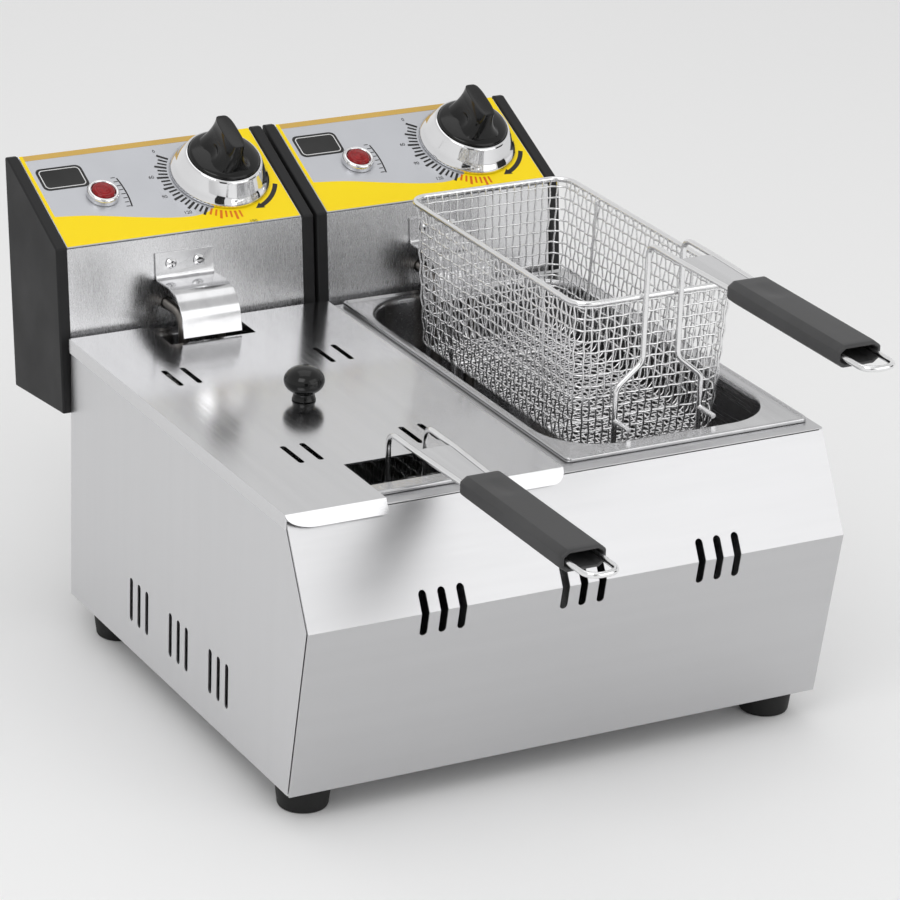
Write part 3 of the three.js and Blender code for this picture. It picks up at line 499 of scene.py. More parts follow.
def lathe(name, profile, matrix, steps=64):
    """Turns (radius, height) points in millimetres round Z. A radius of 0 closes on the axis."""
    points, rings = [], []
    for radius, height in profile:
        if radius < 1e-6:
            rings.append([len(points)])
            points.append((0, 0, height * MM))
            continue
        rings.append(list(range(len(points), len(points) + steps)))
        for i in range(steps):
            angle = 2 * math.pi * i / steps
            points.append(
                (radius * MM * math.cos(angle), radius * MM * math.sin(angle), height * MM))
    faces = []
    for a, b in zip(rings, rings[1:]):
        for i in range(steps):
            j = (i + 1) % steps
            quad = [a[i % len(a)], a[j % len(a)], b[j % len(b)], b[i % len(b)]]
            face = list(dict.fromkeys(quad))
            if len(face) > 2:
                faces.append(face)
    mesh = mesh_of(name, points, faces, matrix)
    return outward(mesh)


def outward(mesh):
    """Turns the faces of a closed mesh outward."""
    shape = bmesh.new()
    shape.from_mesh(mesh)
    bmesh.ops.remove_doubles(shape, verts=shape.verts, dist=0.001 * MM)
    bmesh.ops.recalc_face_normals(shape, faces=shape.faces)
    shape.to_mesh(mesh)
    shape.free()
    return mesh


def on_circle(angle, radius=1.0, centre=(0, 0)):
    """The point of a circle at an angle in degrees."""
    turn = math.radians(angle)
    return centre[0] + radius * math.cos(turn), centre[1] + radius * math.sin(turn)


def arc(start, end, count):
    """Points of a circle of radius 1, from one angle to another."""
    return [on_circle(start + (end - start) * i / count) for i in range(count + 1)]


def rounded_path(corners, bend, steps=8, closed=False):
    """A polyline with its corners turned into smooth bends."""
    corners = [Vector(c) for c in corners]
    count = len(corners)
    points = [] if closed else [corners[0]]
    for i in range(count) if closed else range(1, count - 1):
        here = corners[i]
        before, after = corners[i - 1] - here, corners[(i + 1) % count] - here
        turn = before.angle(after)
        reach = min(bend / math.tan(turn / 2), before.length * 0.49, after.length * 0.49)
        start, end = here + before.normalized() * reach, here + after.normalized() * reach
        for k in range(steps + 1):
            t = k / steps
            points.append((1 - t) ** 2 * start + 2 * t * (1 - t) * here + t * t * end)
    if not closed:
        points.append(corners[-1])
    return points


def tube(name, path, radius, sides=10, closed=False, matrix=None):
    """A round wire along a path."""
    path = [Vector(p) for p in path]
    count = len(path)
    points, faces = [], []
    normal = None
    for i, here in enumerate(path):
        if closed:
            ahead = (path[(i + 1) % count] - path[i - 1]).normalized()
        else:
            ahead = (path[min(i + 1, count - 1)] - path[max(i - 1, 0)]).normalized()
        if normal is None:
            guide = Vector((0, 0, 1)) if abs(ahead.z) < 0.9 else Vector((1, 0, 0))
            normal = ahead.cross(guide).normalized()
        normal = (normal - ahead * normal.dot(ahead)).normalized()
        across = ahead.cross(normal)
        for k in range(sides):
            angle = 2 * math.pi * k / sides
            points.append(here + radius * (math.cos(angle) * normal + math.sin(angle) * across))
    turns = count if closed else count - 1
    for i in range(turns):
        a, b = i * sides, ((i + 1) % count) * sides
        for k in range(sides):
            m = (k + 1) % sides
            faces.append([a + k, a + m, b + m, b + k])
    if not closed:
        faces.append(list(range(sides))[::-1])
        faces.append([(count - 1) * sides + k for k in range(sides)])
    return mesh_of(name, points, faces, matrix)


def ring_points(half_x, half_y, corner, centre=(0, 0), steps=8):
    """Corner points of a rounded rectangle, the same number for every size."""
    corner = max(corner, 1e-5)
    points = []
    for quarter, (sx, sy) in enumerate(((1, 1), (-1, 1), (-1, -1), (1, -1))):
        cx, cy = centre[0] + sx * (half_x - corner), centre[1] + sy * (half_y - corner)
        for i in range(steps + 1):
            angle = math.pi / 2 * (quarter + i / steps)
            points.append((cx + corner * math.cos(angle), cy + corner * math.sin(angle)))
    return points


def loft(name, rings, matrix=None):
    """Skins rings that have the same number of points, and caps both ends."""
    count = len(rings[0])
    points = [p for ring in rings for p in ring]
    faces = []
    for r in range(len(rings) - 1):
        a, b = r * count, (r + 1) * count
        faces += [[a + i, a + (i + 1) % count, b + (i + 1) % count, b + i] for i in range(count)]
    faces.append(list(range(count))[::-1])
    faces.append([(len(rings) - 1) * count + i for i in range(count)])
    return outward(mesh_of(name, points, faces, matrix))


def flat_shape(name, outline, thickness, matrix, base=0.0):
    """A thin flat piece with an outline in millimetres, from base to base + thickness out."""
    shape = bmesh.new()
    bottom = [shape.verts.new((x * MM, y * MM, base * MM)) for x, y in outline]
    face = shape.faces.new(bottom)
    extruded = bmesh.ops.extrude_face_region(shape, geom=[face])
    raised = [v for v in extruded["geom"] if isinstance(v, bmesh.types.BMVert)]
    bmesh.ops.translate(shape, verts=raised, vec=(0, 0, thickness * MM))
    bmesh.ops.recalc_face_normals(shape, faces=shape.faces)
    mesh = bpy.data.meshes.new(name)
    shape.to_mesh(mesh)
    shape.free()
    mesh.transform(matrix)
    return mesh


# ---------------------------------------------------------------- casing
def build_casing():
    for node, finish in (
        ("casing_front", "front steel"),
        ("casing_left_side", "side steel"),
        ("casing_right_side", "side steel"),
        ("casing_back", "front steel"),
        ("deck_frame", "front steel"),
    ):
        refined(node, "casing", "steel", finish)
    refined("base_plate", "casing", "bracket_steel", "bracket steel")
    for side in SIDES:
        refined(f"head_bracket_{side}", "casing", "bracket_steel", "bracket steel")


FOOT_STUD = 7.0  # stud above the foot, in millimetres
CLEARANCE = 0.3


def build_feet():
    for end in ("front", "rear"):
        for side in SIDES:
            node = f"foot_{end}_{side}"
            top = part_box(node)[1].z / MM - FOOT_STUD - CLEARANCE
            profile = [
                (0, 0.4), (6, 0.4), (7, 0), (15.2, 0), (16.4, 0.5), (17, 1.6), (19.1, top - 3.8),
                (19.5, top - 2.4), (19.5, top - 0.7), (19.1, top), (4, top), (4, top + FOOT_STUD),
                (0, top + FOOT_STUD)]
            piece(f"{node}_piece", lathe(node, profile, middle_of(node), 56), "rubber", 40,
                  "casing", "rubber", node)


# ---------------------------------------------------------------- tanks
WELL_HALF = 84.5 * MM  # half the well's width
WELL_CORNER = 42 * MM
WELL_BEND = 14  # bend between wall and floor, in millimetres
TANK_WALL = 1.5  # in millimetres
FLANGE_FRONT, FLANGE_BACK = 18 * MM, 6 * MM
FLANGE_CORNER = 4.5 * MM


def build_tanks():
    """The outside from the floor up, over the raised flange, and down the well."""
    floor_turns = (0.4, 0.8, 1.2, math.pi / 2)
    for side in SIDES:
        low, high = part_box(f"tank_{side}")
        centre = ((low.x + high.x) / 2, (low.y + high.y) / 2)
        well_front, well_back = low.y + FLANGE_FRONT, high.y - FLANGE_BACK
        well_centre = (centre[0], (well_front + well_back) / 2)
        well_y = (well_back - well_front) / 2
        flange_x, flange_y = (high.x - low.x) / 2, (high.y - low.y) / 2
        top, floor = high.z, low.z + TANK_WALL * MM

        def well(out, z, lift=0.0):
            out *= MM
            points = ring_points(
                WELL_HALF + out, well_y + out, WELL_CORNER + out, well_centre, 10)
            return [(x, y, z + lift * MM) for x, y in points]

        def flange(inward, z, lift):
            inward *= MM
            points = ring_points(
                flange_x - inward, flange_y - inward, FLANGE_CORNER - inward * 0.8, centre, 10)
            return [(x, y, z + lift * MM) for x, y in points]

        rings = [
            well(TANK_WALL - WELL_BEND + WELL_BEND * math.sin(t), low.z,
                 WELL_BEND - WELL_BEND * math.cos(t))
            for t in (0, *floor_turns)]
        rings += [well(TANK_WALL, top, -6), well(1.9, top, -3.6), well(3.2, top, -3.0)]
        rings += [flange(0.3, top, -3.0), flange(0, top, -2.6), flange(0, top, -1.0),
                  flange(0.35, top, -0.3), flange(1.2, top, 0), flange(2.1, top, -0.25),
                  flange(2.7, top, -0.9), flange(3.1, top, -1.4), flange(3.9, top, -1.55)]
        rings += [well(3.2, top, -1.6), well(1.7, top, -1.9), well(0.6, top, -3.0),
                  well(0.1, top, -4.8), well(0, top, -7)]
        rings += [well(0, top, -38), well(-0.8, top, -40.5), well(-1.0, top, -44)]
        rings += [well(-1 - (WELL_BEND - 1) * (1 - math.cos(t)), floor,
                       WELL_BEND - WELL_BEND * math.sin(t)) for t in (0, *floor_turns)]
        tank = f"tank_{side}"
        piece(f"{tank}_piece", loft(tank, rings), "tank steel", 50, tank, "tank_steel", tank)


# ---------------------------------------------------------------- lid
def build_lid():
    """The folded lid, and its knob: a stud, a waisted neck and a flattened ball."""
    refined("lid", "lid", "steel", "lid steel")
    place = middle_of("lid_knob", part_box("lid")[1].z)
    profile = [(0, -6.2), (2.5, -6.2), (2.5, 0.3), (7.9, 0.3), (8.15, 0.5), (8.2, 0.9), (8.0, 1.4),
               (7.7, 2.2), (7.5, 3.2), (7.4, 4.4), (7.6, 5.2)]
    ball_half_width, ball_half_height, ball_middle = 13.95, 9.95, 14
    profile += [(ball_half_width * r, ball_middle + ball_half_height * h)
                for r, h in arc(-55, 90, 20)]
    piece("lid_knob_piece", lathe("lid_knob", profile, place), "knob plastic", 55,
          "lid", "black_plastic", "lid_knob")


# ---------------------------------------------------------------- baskets
BASKET_DEPTH = 110 * MM
HANDLE_RISE = 38.5 * MM  # the handle's wires above the rim wire
BASKET_DRAW = 6 * MM  # how far each wall leans in over the basket's depth
BASKET_BEND = 6 * MM  # bend between wall and floor
BASKET_CORNER = 11 * MM  # plan radius of the weave's corners
WEAVE_INSIDE_RIM = 5 * MM  # from the rim's outside to the middle of the weave
FORK_HALF = 33 * MM  # the handle wires' lower ends, from their middle
HANDLE_HALF = 13.5 * MM  # and where they bend forward
GRIP_HALF = 11.4 * MM  # and inside the grip
HOOK_DROP = 84 * MM  # hooks below the rim wire
HOOK_REACH = 18.7 * MM
GRIP_START, GRIP_LENGTH = -99.0, 131.0  # along the handle, in millimetres
STRAP_START = -37 * MM


class BasketShape:
    """Walls and floor of a basket, in its own frame."""

    def __init__(self, side, wire):
        low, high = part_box(f"basket_rim_{side}")
        self.half_x = (high.x - low.x) / 2 - WEAVE_INSIDE_RIM
        self.half_y = (high.y - low.y) / 2 - WEAVE_INSIDE_RIM
        self.centre_y = (high.y - low.y) / 2 + RIM_TO_HANDLE
        self.corner = BASKET_CORNER
        self.floor = -BASKET_DEPTH + wire * 2.2
        self.top = 0.6 * MM

    def inset(self, z):
        return -z / BASKET_DEPTH * BASKET_DRAW

    def ring(self, z, spacing):
        """Evenly spaced points round the walls at a height, each with its outward direction."""
        a, b, r = self.half_x - self.inset(z), self.half_y - self.inset(z), self.corner
        straight_x, straight_y, bend = 2 * (a - r), 2 * (b - r), math.pi / 2 * r
        total = 2 * (straight_x + straight_y) + 4 * bend
        count = 2 * round(total / spacing / 2)
        found = []
        for i in range(count):
            d = total * i / count
            for sx, sy, length, turn in (
                (1, 1, straight_y, 0), (1, 1, bend, None), (-1, 1, straight_x, 90),
                (-1, 1, bend, None), (-1, -1, straight_y, 180), (-1, -1, bend, None),
                (1, -1, straight_x, 270), (1, -1, bend, None),
            ):
                if d <= length:
                    break
                d -= length
            if turn is None:
                quarter = {(1, 1): 0, (-1, 1): 90, (-1, -1): 180, (1, -1): 270}[(sx, sy)]
                angle, left = math.radians(quarter) + d / r, 0
            else:
                angle, left = math.radians(turn), length - d
            out = Vector((math.cos(angle), math.sin(angle), 0))
            along = Vector((-out.y, out.x, 0))
            at = Vector((sx * (a - r), sy * (b - r), 0)) + out * r - along * left
            found.append((at + Vector((0, self.centre_y, z)), out))
        return found


def woven_basket(side):
    """Crimped wires: level rings round the walls, and strands down, across the floor and up."""
    wire, pitch, row = sizes().weave_wire, sizes().weave_columns, sizes().weave_rows
    shape = BasketShape(side, wire)
    place = basket_place(side)
    crimp = wire * 0.95
    meshes = []
    levels = []
    z = shape.top - row * 0.6
    while z > shape.floor + BASKET_BEND:
        levels.append(z)
        z -= row
    for k, z in enumerate(levels):
        points = [
            at + out * crimp * (1 if (i + k) % 2 else -1)
            for i, (at, out) in enumerate(shape.ring(z, pitch))
        ]
        meshes.append(tube("ring", points, wire, 5, True, place))

    for across in (0, 1):
        half = (shape.half_y if across == 0 else shape.half_x)
        reach = (shape.half_x if across == 0 else shape.half_y)
        width = half - shape.corner * 0.45
        count = int(2 * width / pitch)
        for n in range(count + 1):
            share = (2 * n / count - 1) * width / half
            path = []
            for sign in (-1, 1):
                leg = []
                for k, z in enumerate([shape.top, *levels, shape.floor + BASKET_BEND]):
                    wave = crimp * (1 if (n + k) % 2 else -1)
                    inset = shape.inset(z)
                    leg.append((sign * (reach - inset + wave), share * (half - inset), z))
                low_reach = reach - shape.inset(shape.floor)
                for t in (30, 60):
                    turn = math.radians(t)
                    leg.append((
                        sign * (low_reach - BASKET_BEND * (1 - math.cos(turn))),
                        share * (half - BASKET_DRAW),
                        shape.floor + BASKET_BEND * (1 - math.sin(turn)),
                    ))
                path += leg if sign < 0 else leg[::-1]
                if sign < 0:
                    span = low_reach - BASKET_BEND
                    steps = int(2 * span / pitch)
                    for m in range(steps + 1):
                        wave = crimp * (1 if (n + m + across) % 2 else -1)
                        path.append((
                            -span + 2 * span * m / steps, share * (half - BASKET_DRAW),
                            shape.floor + wave,
                        ))
            if across == 0:
                points = [Vector((u, v + shape.centre_y, z)) for u, v, z in path]
            else:
                points = [Vector((v, u + shape.centre_y, z)) for u, v, z in path]
            meshes.append(tube("strand", points, wire, 5, False, place))
    return joined(f"basket_weave_{side}", meshes)


def basket_wires(side):
    """Rim with its stiffening wires, and the handle wire with its drain hooks."""
    radius = sizes().handle_wire
    low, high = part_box(f"basket_rim_{side}")
    half_x, half_y = (high.x - low.x) / 2 - radius, (high.y - low.y) / 2 - radius
    centre_y = half_y + RIM_TO_HANDLE + radius
    place = basket_place(side)
    rim = [(x, y + centre_y, 0) for x, y in ring_points(half_x, half_y, 14 * MM, (0, 0), 10)]
    shape = BasketShape(side, sizes().weave_wire)
    frame_wires = [tube("rim", rim, radius, 12, True, place)]
    floor_z = -BASKET_DEPTH + 1.4 * MM
    for y_share in (-0.55, 0.55):
        y = centre_y + y_share * half_y
        reach = shape.half_x - 1.6 * MM
        low_reach = reach - BASKET_DRAW + 0.5 * MM
        path = rounded_path(
            [(-reach, y, -1 * MM), (-low_reach, y, floor_z + 1 * MM),
             (low_reach, y, floor_z + 1 * MM), (reach, y, -1 * MM)], 5 * MM, 6)
        frame_wires.append(tube("stiffener", path, 1.25 * MM, 8, False, place))
    handle_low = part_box(f"basket_handle_wire_{side}")[0]
    origin = place.translation
    loop_end = handle_low.y - origin.y + radius
    bottom = handle_low.z - origin.z + radius * 0.8
    half = [
        (FORK_HALF, 0, bottom), (FORK_HALF, 0, -61 * MM), (HANDLE_HALF, 0, -45 * MM),
        (HANDLE_HALF, 0, HANDLE_RISE), (HANDLE_HALF, STRAP_START, HANDLE_RISE),
        (GRIP_HALF, GRIP_START * MM, HANDLE_RISE), (GRIP_HALF, loop_end, HANDLE_RISE),
    ]
    path = half + [(-x, y, z) for x, y, z in reversed(half)]
    handle = [tube("handle", rounded_path(path, 10.5 * MM, 9), radius * 0.98, 14, False, place)]
    for sign in (-1, 1):
        root = Vector((sign * FORK_HALF, 0.5 * MM, -HOOK_DROP))
        tip = Vector((sign * FORK_HALF, -HOOK_REACH, -HOOK_DROP))
        path = [root.lerp(tip, t / 6) for t in range(7)]
        handle.append(tube("hook", path, radius * 0.93, 12, False, place))
    return joined(f"basket_rim_{side}", frame_wires), joined(f"basket_handle_{side}", handle)


def grip_shape(side):
    """Hollow moulded grip with chamfered flanks, rounded ends and a shallow thumb dish."""
    start, end = GRIP_START, GRIP_START - GRIP_LENGTH
    flat = 12  # sides longer than this take extra points for the dish

    def section(y, shrink, half_w=16.0, half_h=7.5, chamfer=(4.8, 3.6)):
        w, h = half_w - shrink, half_h - shrink
        cut_w, cut_h = (max(c - 0.5 * shrink, 0.8) for c in chamfer)
        corners = [
            (w, h - cut_h), (w - cut_w, h), (-(w - cut_w), h), (-w, h - cut_h), (-w, -(h - cut_h)),
            (-(w - cut_w), -h), (w - cut_w, -h), (w, -(h - cut_h)),
        ]
        edge = []
        for i, corner in enumerate(corners):
            ahead = corners[(i + 1) % len(corners)]
            if abs(ahead[0] - corner[0]) > flat:
                edge += [(corner[0] + (ahead[0] - corner[0]) * k / 9, corner[1], 0)
                         for k in (0, 3, 4, 5, 6)]
            else:
                edge.append((*corner, 0))
        return [[p.x * MM, y * MM, p.y * MM] for p in rounded_path(edge, 1.3, 3, True)]

    def dished(ring, y):
        middle, half_length, half_width, depth = start - 27, 15, 9.5 * MM, 1.1 * MM
        for point in ring:
            if point[2] > 3 * MM:
                spot = (point[0] / half_width) ** 2 + ((y - middle) / half_length) ** 2
                if spot < 1:
                    point[2] -= depth * (1 - spot) ** 1.2
        return ring

    rear = ((0, 3.4), (0.35, 1.9), (1.2, 0.8), (2.6, 0.2), (4.5, 0))
    front = ((2.4, 0.05), (1.0, 0.35), (0.2, 1.0), (0, 1.7), (0.5, 2.35), (3, 2.6), (38, 2.8),
             (39, 3.4))
    rings = [section(start - in_by, shrink) for in_by, shrink in rear]
    steps = 56
    for i in range(1, steps):
        y = start - 4.5 - (GRIP_LENGTH - 7.5) * i / steps
        rings.append(dished(section(y, 0), y))
    rings += [section(end + in_by, shrink) for in_by, shrink in front]
    rings = [[(x, y, z + HANDLE_RISE) for x, y, z in ring] for ring in rings]
    return loft(f"grip_{side}", rings, basket_place(side))


def build_baskets():
    for side in SIDES:
        body = f"basket_{side}"
        piece(f"basket_weave_{side}", woven_basket(side), "wire", 80, body, "wire_steel",
              f"basket_mesh_{side}")
        rim, handle = basket_wires(side)
        piece(f"basket_rim_wires_{side}", rim, "wire", 60, body, "wire_steel",
              f"basket_rim_{side}")
        piece(f"basket_handle_wires_{side}", handle, "wire", 60, body, "wire_steel",
              f"basket_handle_wire_{side}")
        refined(f"basket_strap_{side}", body, "wire_steel", "guard steel", 0.4 * MM, 3)
        piece(f"basket_grip_{side}_piece", grip_shape(side), "grip plastic", 45, body,
              "dark_plastic", f"basket_grip_{side}")


# ---------------------------------------------------------------- control heads
def build_heads():
    for side in SIDES:
        body = f"head_{side}"
        refined(f"head_shell_{side}", body, "steel", "head steel")
        refined(f"head_back_cover_{side}", body, "steel", "head steel")
        refined(f"element_guard_{side}", body, "steel", "guard steel", 0.3 * MM, 2, 50)
        for cheek in ("outer", "inner"):
            refined(
                f"head_cheek_{cheek}_{side}", body, "dark_plastic", "cheek plastic", 1.3 * MM, 4)
        for screw in ("a", "b"):
            refined(f"guard_screw_{screw}_{side}", body, "chrome", "chrome", 0.15 * MM, 2, 40)
        refined(f"thermostat_{side}", body, "bracket_steel", "bracket steel", 0.5 * MM)
        refined(f"terminal_block_{side}", body, "terminal_ceramic", "ceramic", 0.6 * MM)


NUT_RADIUS = 10.9  # to the corners, in millimetres
NUT_FLATS = 0.88  # share of it between the corners


def build_rear_fittings():
    """Cable gland behind each head: a hexagon nut round a tapered collar."""
    for side in SIDES:
        low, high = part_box(f"cable_gland_{side}")
        out = Vector((0, math.cos(HEAD_LEAN), -math.sin(HEAD_LEAN)))
        up = Vector((0, math.sin(HEAD_LEAN), math.cos(HEAD_LEAN)))
        centre = (low + high) / 2 - out * 6 * MM
        place = axes_matrix(X_AXIS, -up, out, centre)
        nut = []
        for height, shrink in ((0.35, 0.5), (0.9, 0.0), (5.2, 0.0), (5.9, 0.5)):
            radii = ((NUT_RADIUS - shrink) * MM, (NUT_RADIUS - shrink) * MM * NUT_FLATS)
            nut.append([(*on_circle(30 * i, radii[i % 2]), height * MM) for i in range(12)])
        collar = lathe(
            "collar",
            [(4, -8), (7, -8), (7, 5.9), (9.2, 6.4), (9.3, 9), (8.8, 12), (7.6, 16), (7.0, 18.6),
             (6.4, 19.8), (5.6, 20), (4.2, 19.2), (4, -8)], place, 40)
        gland = joined(f"gland_{side}", [collar, loft("nut", nut, place)])
        piece(f"cable_gland_{side}_piece", gland, "gland plastic", 35, f"head_{side}",
              "black_plastic", f"cable_gland_{side}")


HEATER_RADIUS = 4 * MM
HEATER_LEG, HEATER_OUTER, HEATER_INNER = 14 * MM, 54 * MM, 18 * MM  # from the tube's middle
HEATER_DOWN, HEATER_BACK = 20 * MM, 50 * MM  # legs and return bend, in front of the deck's back


def build_heaters():
    for side in SIDES:
        node = f"heating_element_{side}"
        low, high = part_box(node)
        x, radius = (low.x + high.x) / 2, HEATER_RADIUS
        deck_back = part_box("deck_frame")[1].y
        down, front = deck_back - HEATER_DOWN, low.y + radius
        level, leg = low.z + radius, high.z - radius
        half = [
            (HEATER_LEG, high.y - 1 * MM, leg), (HEATER_LEG, down, leg), (HEATER_LEG, down, level),
            (HEATER_OUTER, down, level), (HEATER_OUTER, front, level),
            (HEATER_INNER, front, level), (HEATER_INNER, deck_back - HEATER_BACK, level),
        ]
        path = half + [(-u, y, z) for u, y, z in reversed(half)]
        points = rounded_path([(x + u, y, z) for u, y, z in path], 13 * MM, 8)
        piece(f"{node}_piece", tube(node, points, radius * 0.99, 16), "heater tube", 60,
              f"head_{side}", "element_steel", node)
        refined(f"sensor_bulb_{side}", f"head_{side}", "wire_steel", "wire", 0.0, 1, 50)


# ---------------------------------------------------------------- knobs and lamps
def knob_body(name, name_of_grip, place):
    """Black grip: a round hub with a tall fin that is highest at its pointer end."""
    hub = lathe(
        f"{name}_hub",
        [(3.4, 6.5), (25.6, 6.5), (26, 7), (26, 19.2), (25.5, 20.3), (24.4, 21.1), (20, 22.3),
         (12, 23.4), (3.4, 23.8), (3.4, 6.5)], place, 72)
    rise = (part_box(name_of_grip)[1].z - place.translation.z) / MM
    ahead, behind, base, tallest = 17.0, 18.0, 17.0, 43.6
    crest = min((rise - ahead * place[2][1]) / place[2][2] - 0.35, tallest)
    rings = []
    levels = 30
    for i in range(levels + 1):
        t = i / levels
        height = base + (crest - base) * t
        flank = 6.3 + 15.5 * (1 - t) ** 2.3
        front, back = behind + 5.0 * (1 - t) ** 3, ahead + 5.0 * (1 - t) ** 1.6
        ring = []
        for k in range(72):
            angle = 2 * math.pi * k / 72
            c, s = math.cos(angle), math.sin(angle)
            u = flank * math.copysign(abs(c) ** 0.5, c)
            v = (back if s > 0 else front) * math.copysign(abs(s) ** 0.72, s)
            spot = math.hypot((v + 1) / 8.0, (height - 25) / 6.5)
            if spot < 1.35 and abs(u) > 3:
                dish = 2.4 * max(0.0, 1 - spot ** 2) - 0.5 * math.exp(-((spot - 1.1) / 0.15) ** 2)
                u -= math.copysign(dish, u)
            ring.append((u * MM, v * MM, height * MM))
        rings.append(ring)
    crown = rings[-1]
    for shrink, lift in ((0.95, 0.18), (0.86, 0.3), (0.6, 0.35)):
        rings.append([
            (p[0] * shrink, p[1] * (1 - (1 - shrink) * 0.4), p[2] + lift * MM) for p in crown
        ])
    fin = loft(f"{name}_fin", rings, place)
    return [hub, fin]


def build_knobs():
    for side in SIDES:
        place = panel_place(side, *KNOB_ON_PANEL)
        skirt = lathe(
            f"skirt_{side}",
            [(33.5, 1.45), (36.0, 1.45), (36.5, 1.9), (36.45, 3.4), (35.9, 4.6), (34.0, 6.6),
             (32.4, 9.2), (28.6, 17.2), (28.0, 18.3), (27.3, 18.9), (26.6, 18.9), (26.3, 18.4),
             (26.3, 15.0), (31.5, 5.4), (33.5, 1.45)],
            place, 96)
        piece(f"knob_skirt_{side}_piece", skirt, "chrome", 50, f"knob_{side}", "chrome",
              f"knob_skirt_{side}")
        grip = joined(f"knob_grip_{side}", knob_body(f"knob_{side}", f"knob_grip_{side}", place))
        piece(f"knob_grip_{side}_piece", grip, "knob plastic", 50, f"knob_{side}",
              "black_plastic", f"knob_grip_{side}")


def build_lamps():
    for side in SIDES:
        place = panel_place(side, *LAMP_ON_PANEL)
        bezel = lathe(
            f"bezel_{side}",
            [(6.6, -18), (8, -18), (8, 1.4), (11.2, 1.4), (11.75, 1.7), (11.8, 2.4), (11.8, 4.6),
             (11.4, 5.9), (10.7, 6.6), (9.9, 6.9), (9.1, 6.6), (8.65, 5.8), (8.6, 3.4), (6.6, 3.4),
             (6.6, -18)],
            place, 64)
        piece(f"lamp_bezel_{side}_piece", bezel, "chrome", 45, f"head_{side}", "chrome",
              f"lamp_bezel_{side}")
        lens = lathe(
            f"lens_{side}",
            [(0, 3.7), (8.3, 3.7), (8.3, 5.9), (7.9, 6.7), (7.0, 7.4), (6.2, 7.6), (5.8, 7.5),
             (5.4, 7.7), (4.4, 8.2), (3.9, 8.15), (3.5, 8.35), (2.2, 8.7), (1.8, 8.65), (1.2, 8.85),
             (0, 8.95)],
            place, 48)
        piece(f"lamp_lens_{side}_piece", lens, "lamp red", 50, f"head_{side}", "lens_red",
              f"lamp_lens_{side}")


# ---------------------------------------------------------------- printed panels
PRINT = 0.06  # thickness of a printed layer, in millimetres
PRINT_BASE = 1.13  # where the first layer starts, out from the panel's plane
INK_BASE = PRINT_BASE + PRINT  # and the layer over it
PANEL_HALF, PANEL_FOOT, PANEL_TOP = 89.6, 1.6, 96.9
YELLOW, OCHRE, BLACK, HEAT, WHITE = range(5)  # finishes of the print, in this order
DIAL_START, DIAL_STEP, DIAL_MARKS, DIAL_HOT = 144, 5.0, 26, 236  # angles in degrees
DIAL_NUMBERS = (
    ("0", 140, 50.0), ("60", 173, 51.0), ("90", 197, 51.0), ("120", 221, 51.0),
    ("190", 276, 51.0))
NUMBER_SIZE = 4.2
WINDOW = (-66.5, 70.5)  # middle of the dark window


def dial_point(angle, radius):
    """A point round the knob, in millimetres on the panel."""
    return on_circle(angle, radius, KNOB_ON_PANEL / MM)


def dial_number(text, angle, radius, place):
    """A generic dial number, standing upright beside its mark."""
    curve = bpy.data.curves.new("number", "FONT")
    curve.body = text
    curve.size = NUMBER_SIZE * MM
    curve.align_x, curve.align_y = "CENTER", "CENTER"
    curve.extrude = PRINT * MM / 2
    holder = bpy.data.objects.new("number", curve)
    bpy.context.scene.collection.objects.link(holder)
    bpy.context.view_layer.update()
    evaluated = holder.evaluated_get(bpy.context.evaluated_depsgraph_get())
    mesh = bpy.data.meshes.new_from_object(evaluated)
    bpy.data.objects.remove(holder)
    x, y = dial_point(angle, radius)
    mesh.transform(place @ Matrix.Translation((x * MM, y * MM, INK_BASE * MM)))
    return outward(mesh)


def smooth_line(points, steps=8):
    """A Catmull-Rom line through points."""
    out = []
    for i in range(len(points) - 1):
        p0, p1 = Vector(points[max(i - 1, 0)]), Vector(points[i])
        p2, p3 = Vector(points[i + 1]), Vector(points[min(i + 2, len(points) - 1)])
        for k in range(steps):
            t = k / steps
            out.append(0.5 * ((2 * p1) + (p2 - p0) * t + (2 * p0 - 5 * p1 + 4 * p2 - p3) * t * t
                              + (3 * p1 - p0 - 3 * p2 + p3) * t ** 3))
    out.append(Vector(points[-1]))
    return [tuple(p) for p in out]


def colour_bands(place):
    """The yellow band with its wavy edge, the yellow strip at the left and the ochre one on top."""
    left, right, foot, top = -PANEL_HALF, PANEL_HALF, PANEL_FOOT, PANEL_TOP
    wave = smooth_line([
        (left, 33), (-62, 29.5), (-32, 22.5), (-5, 16.8), (14, 15.4), (28, 19.5), (42, 31),
        (55, 50), (64, 73), (70, top)])
    band = [(left, foot), (right, foot), (right, top), *reversed(wave)]
    strip = [(left, foot), (left + 2.6, foot), (left + 2.6, top), (left, top)]
    ochre = [(left, 91.5), (69.5, 91.5), (69.5, top - 0.2), (left, top - 0.2)]
    return [
        (flat_shape("band", band, PRINT, place, PRINT_BASE), YELLOW),
        (flat_shape("edge", strip, PRINT, place, PRINT_BASE + PRINT * 0.5), YELLOW),
        (flat_shape("gold", ochre, PRINT, place, PRINT_BASE), OCHRE),
    ]


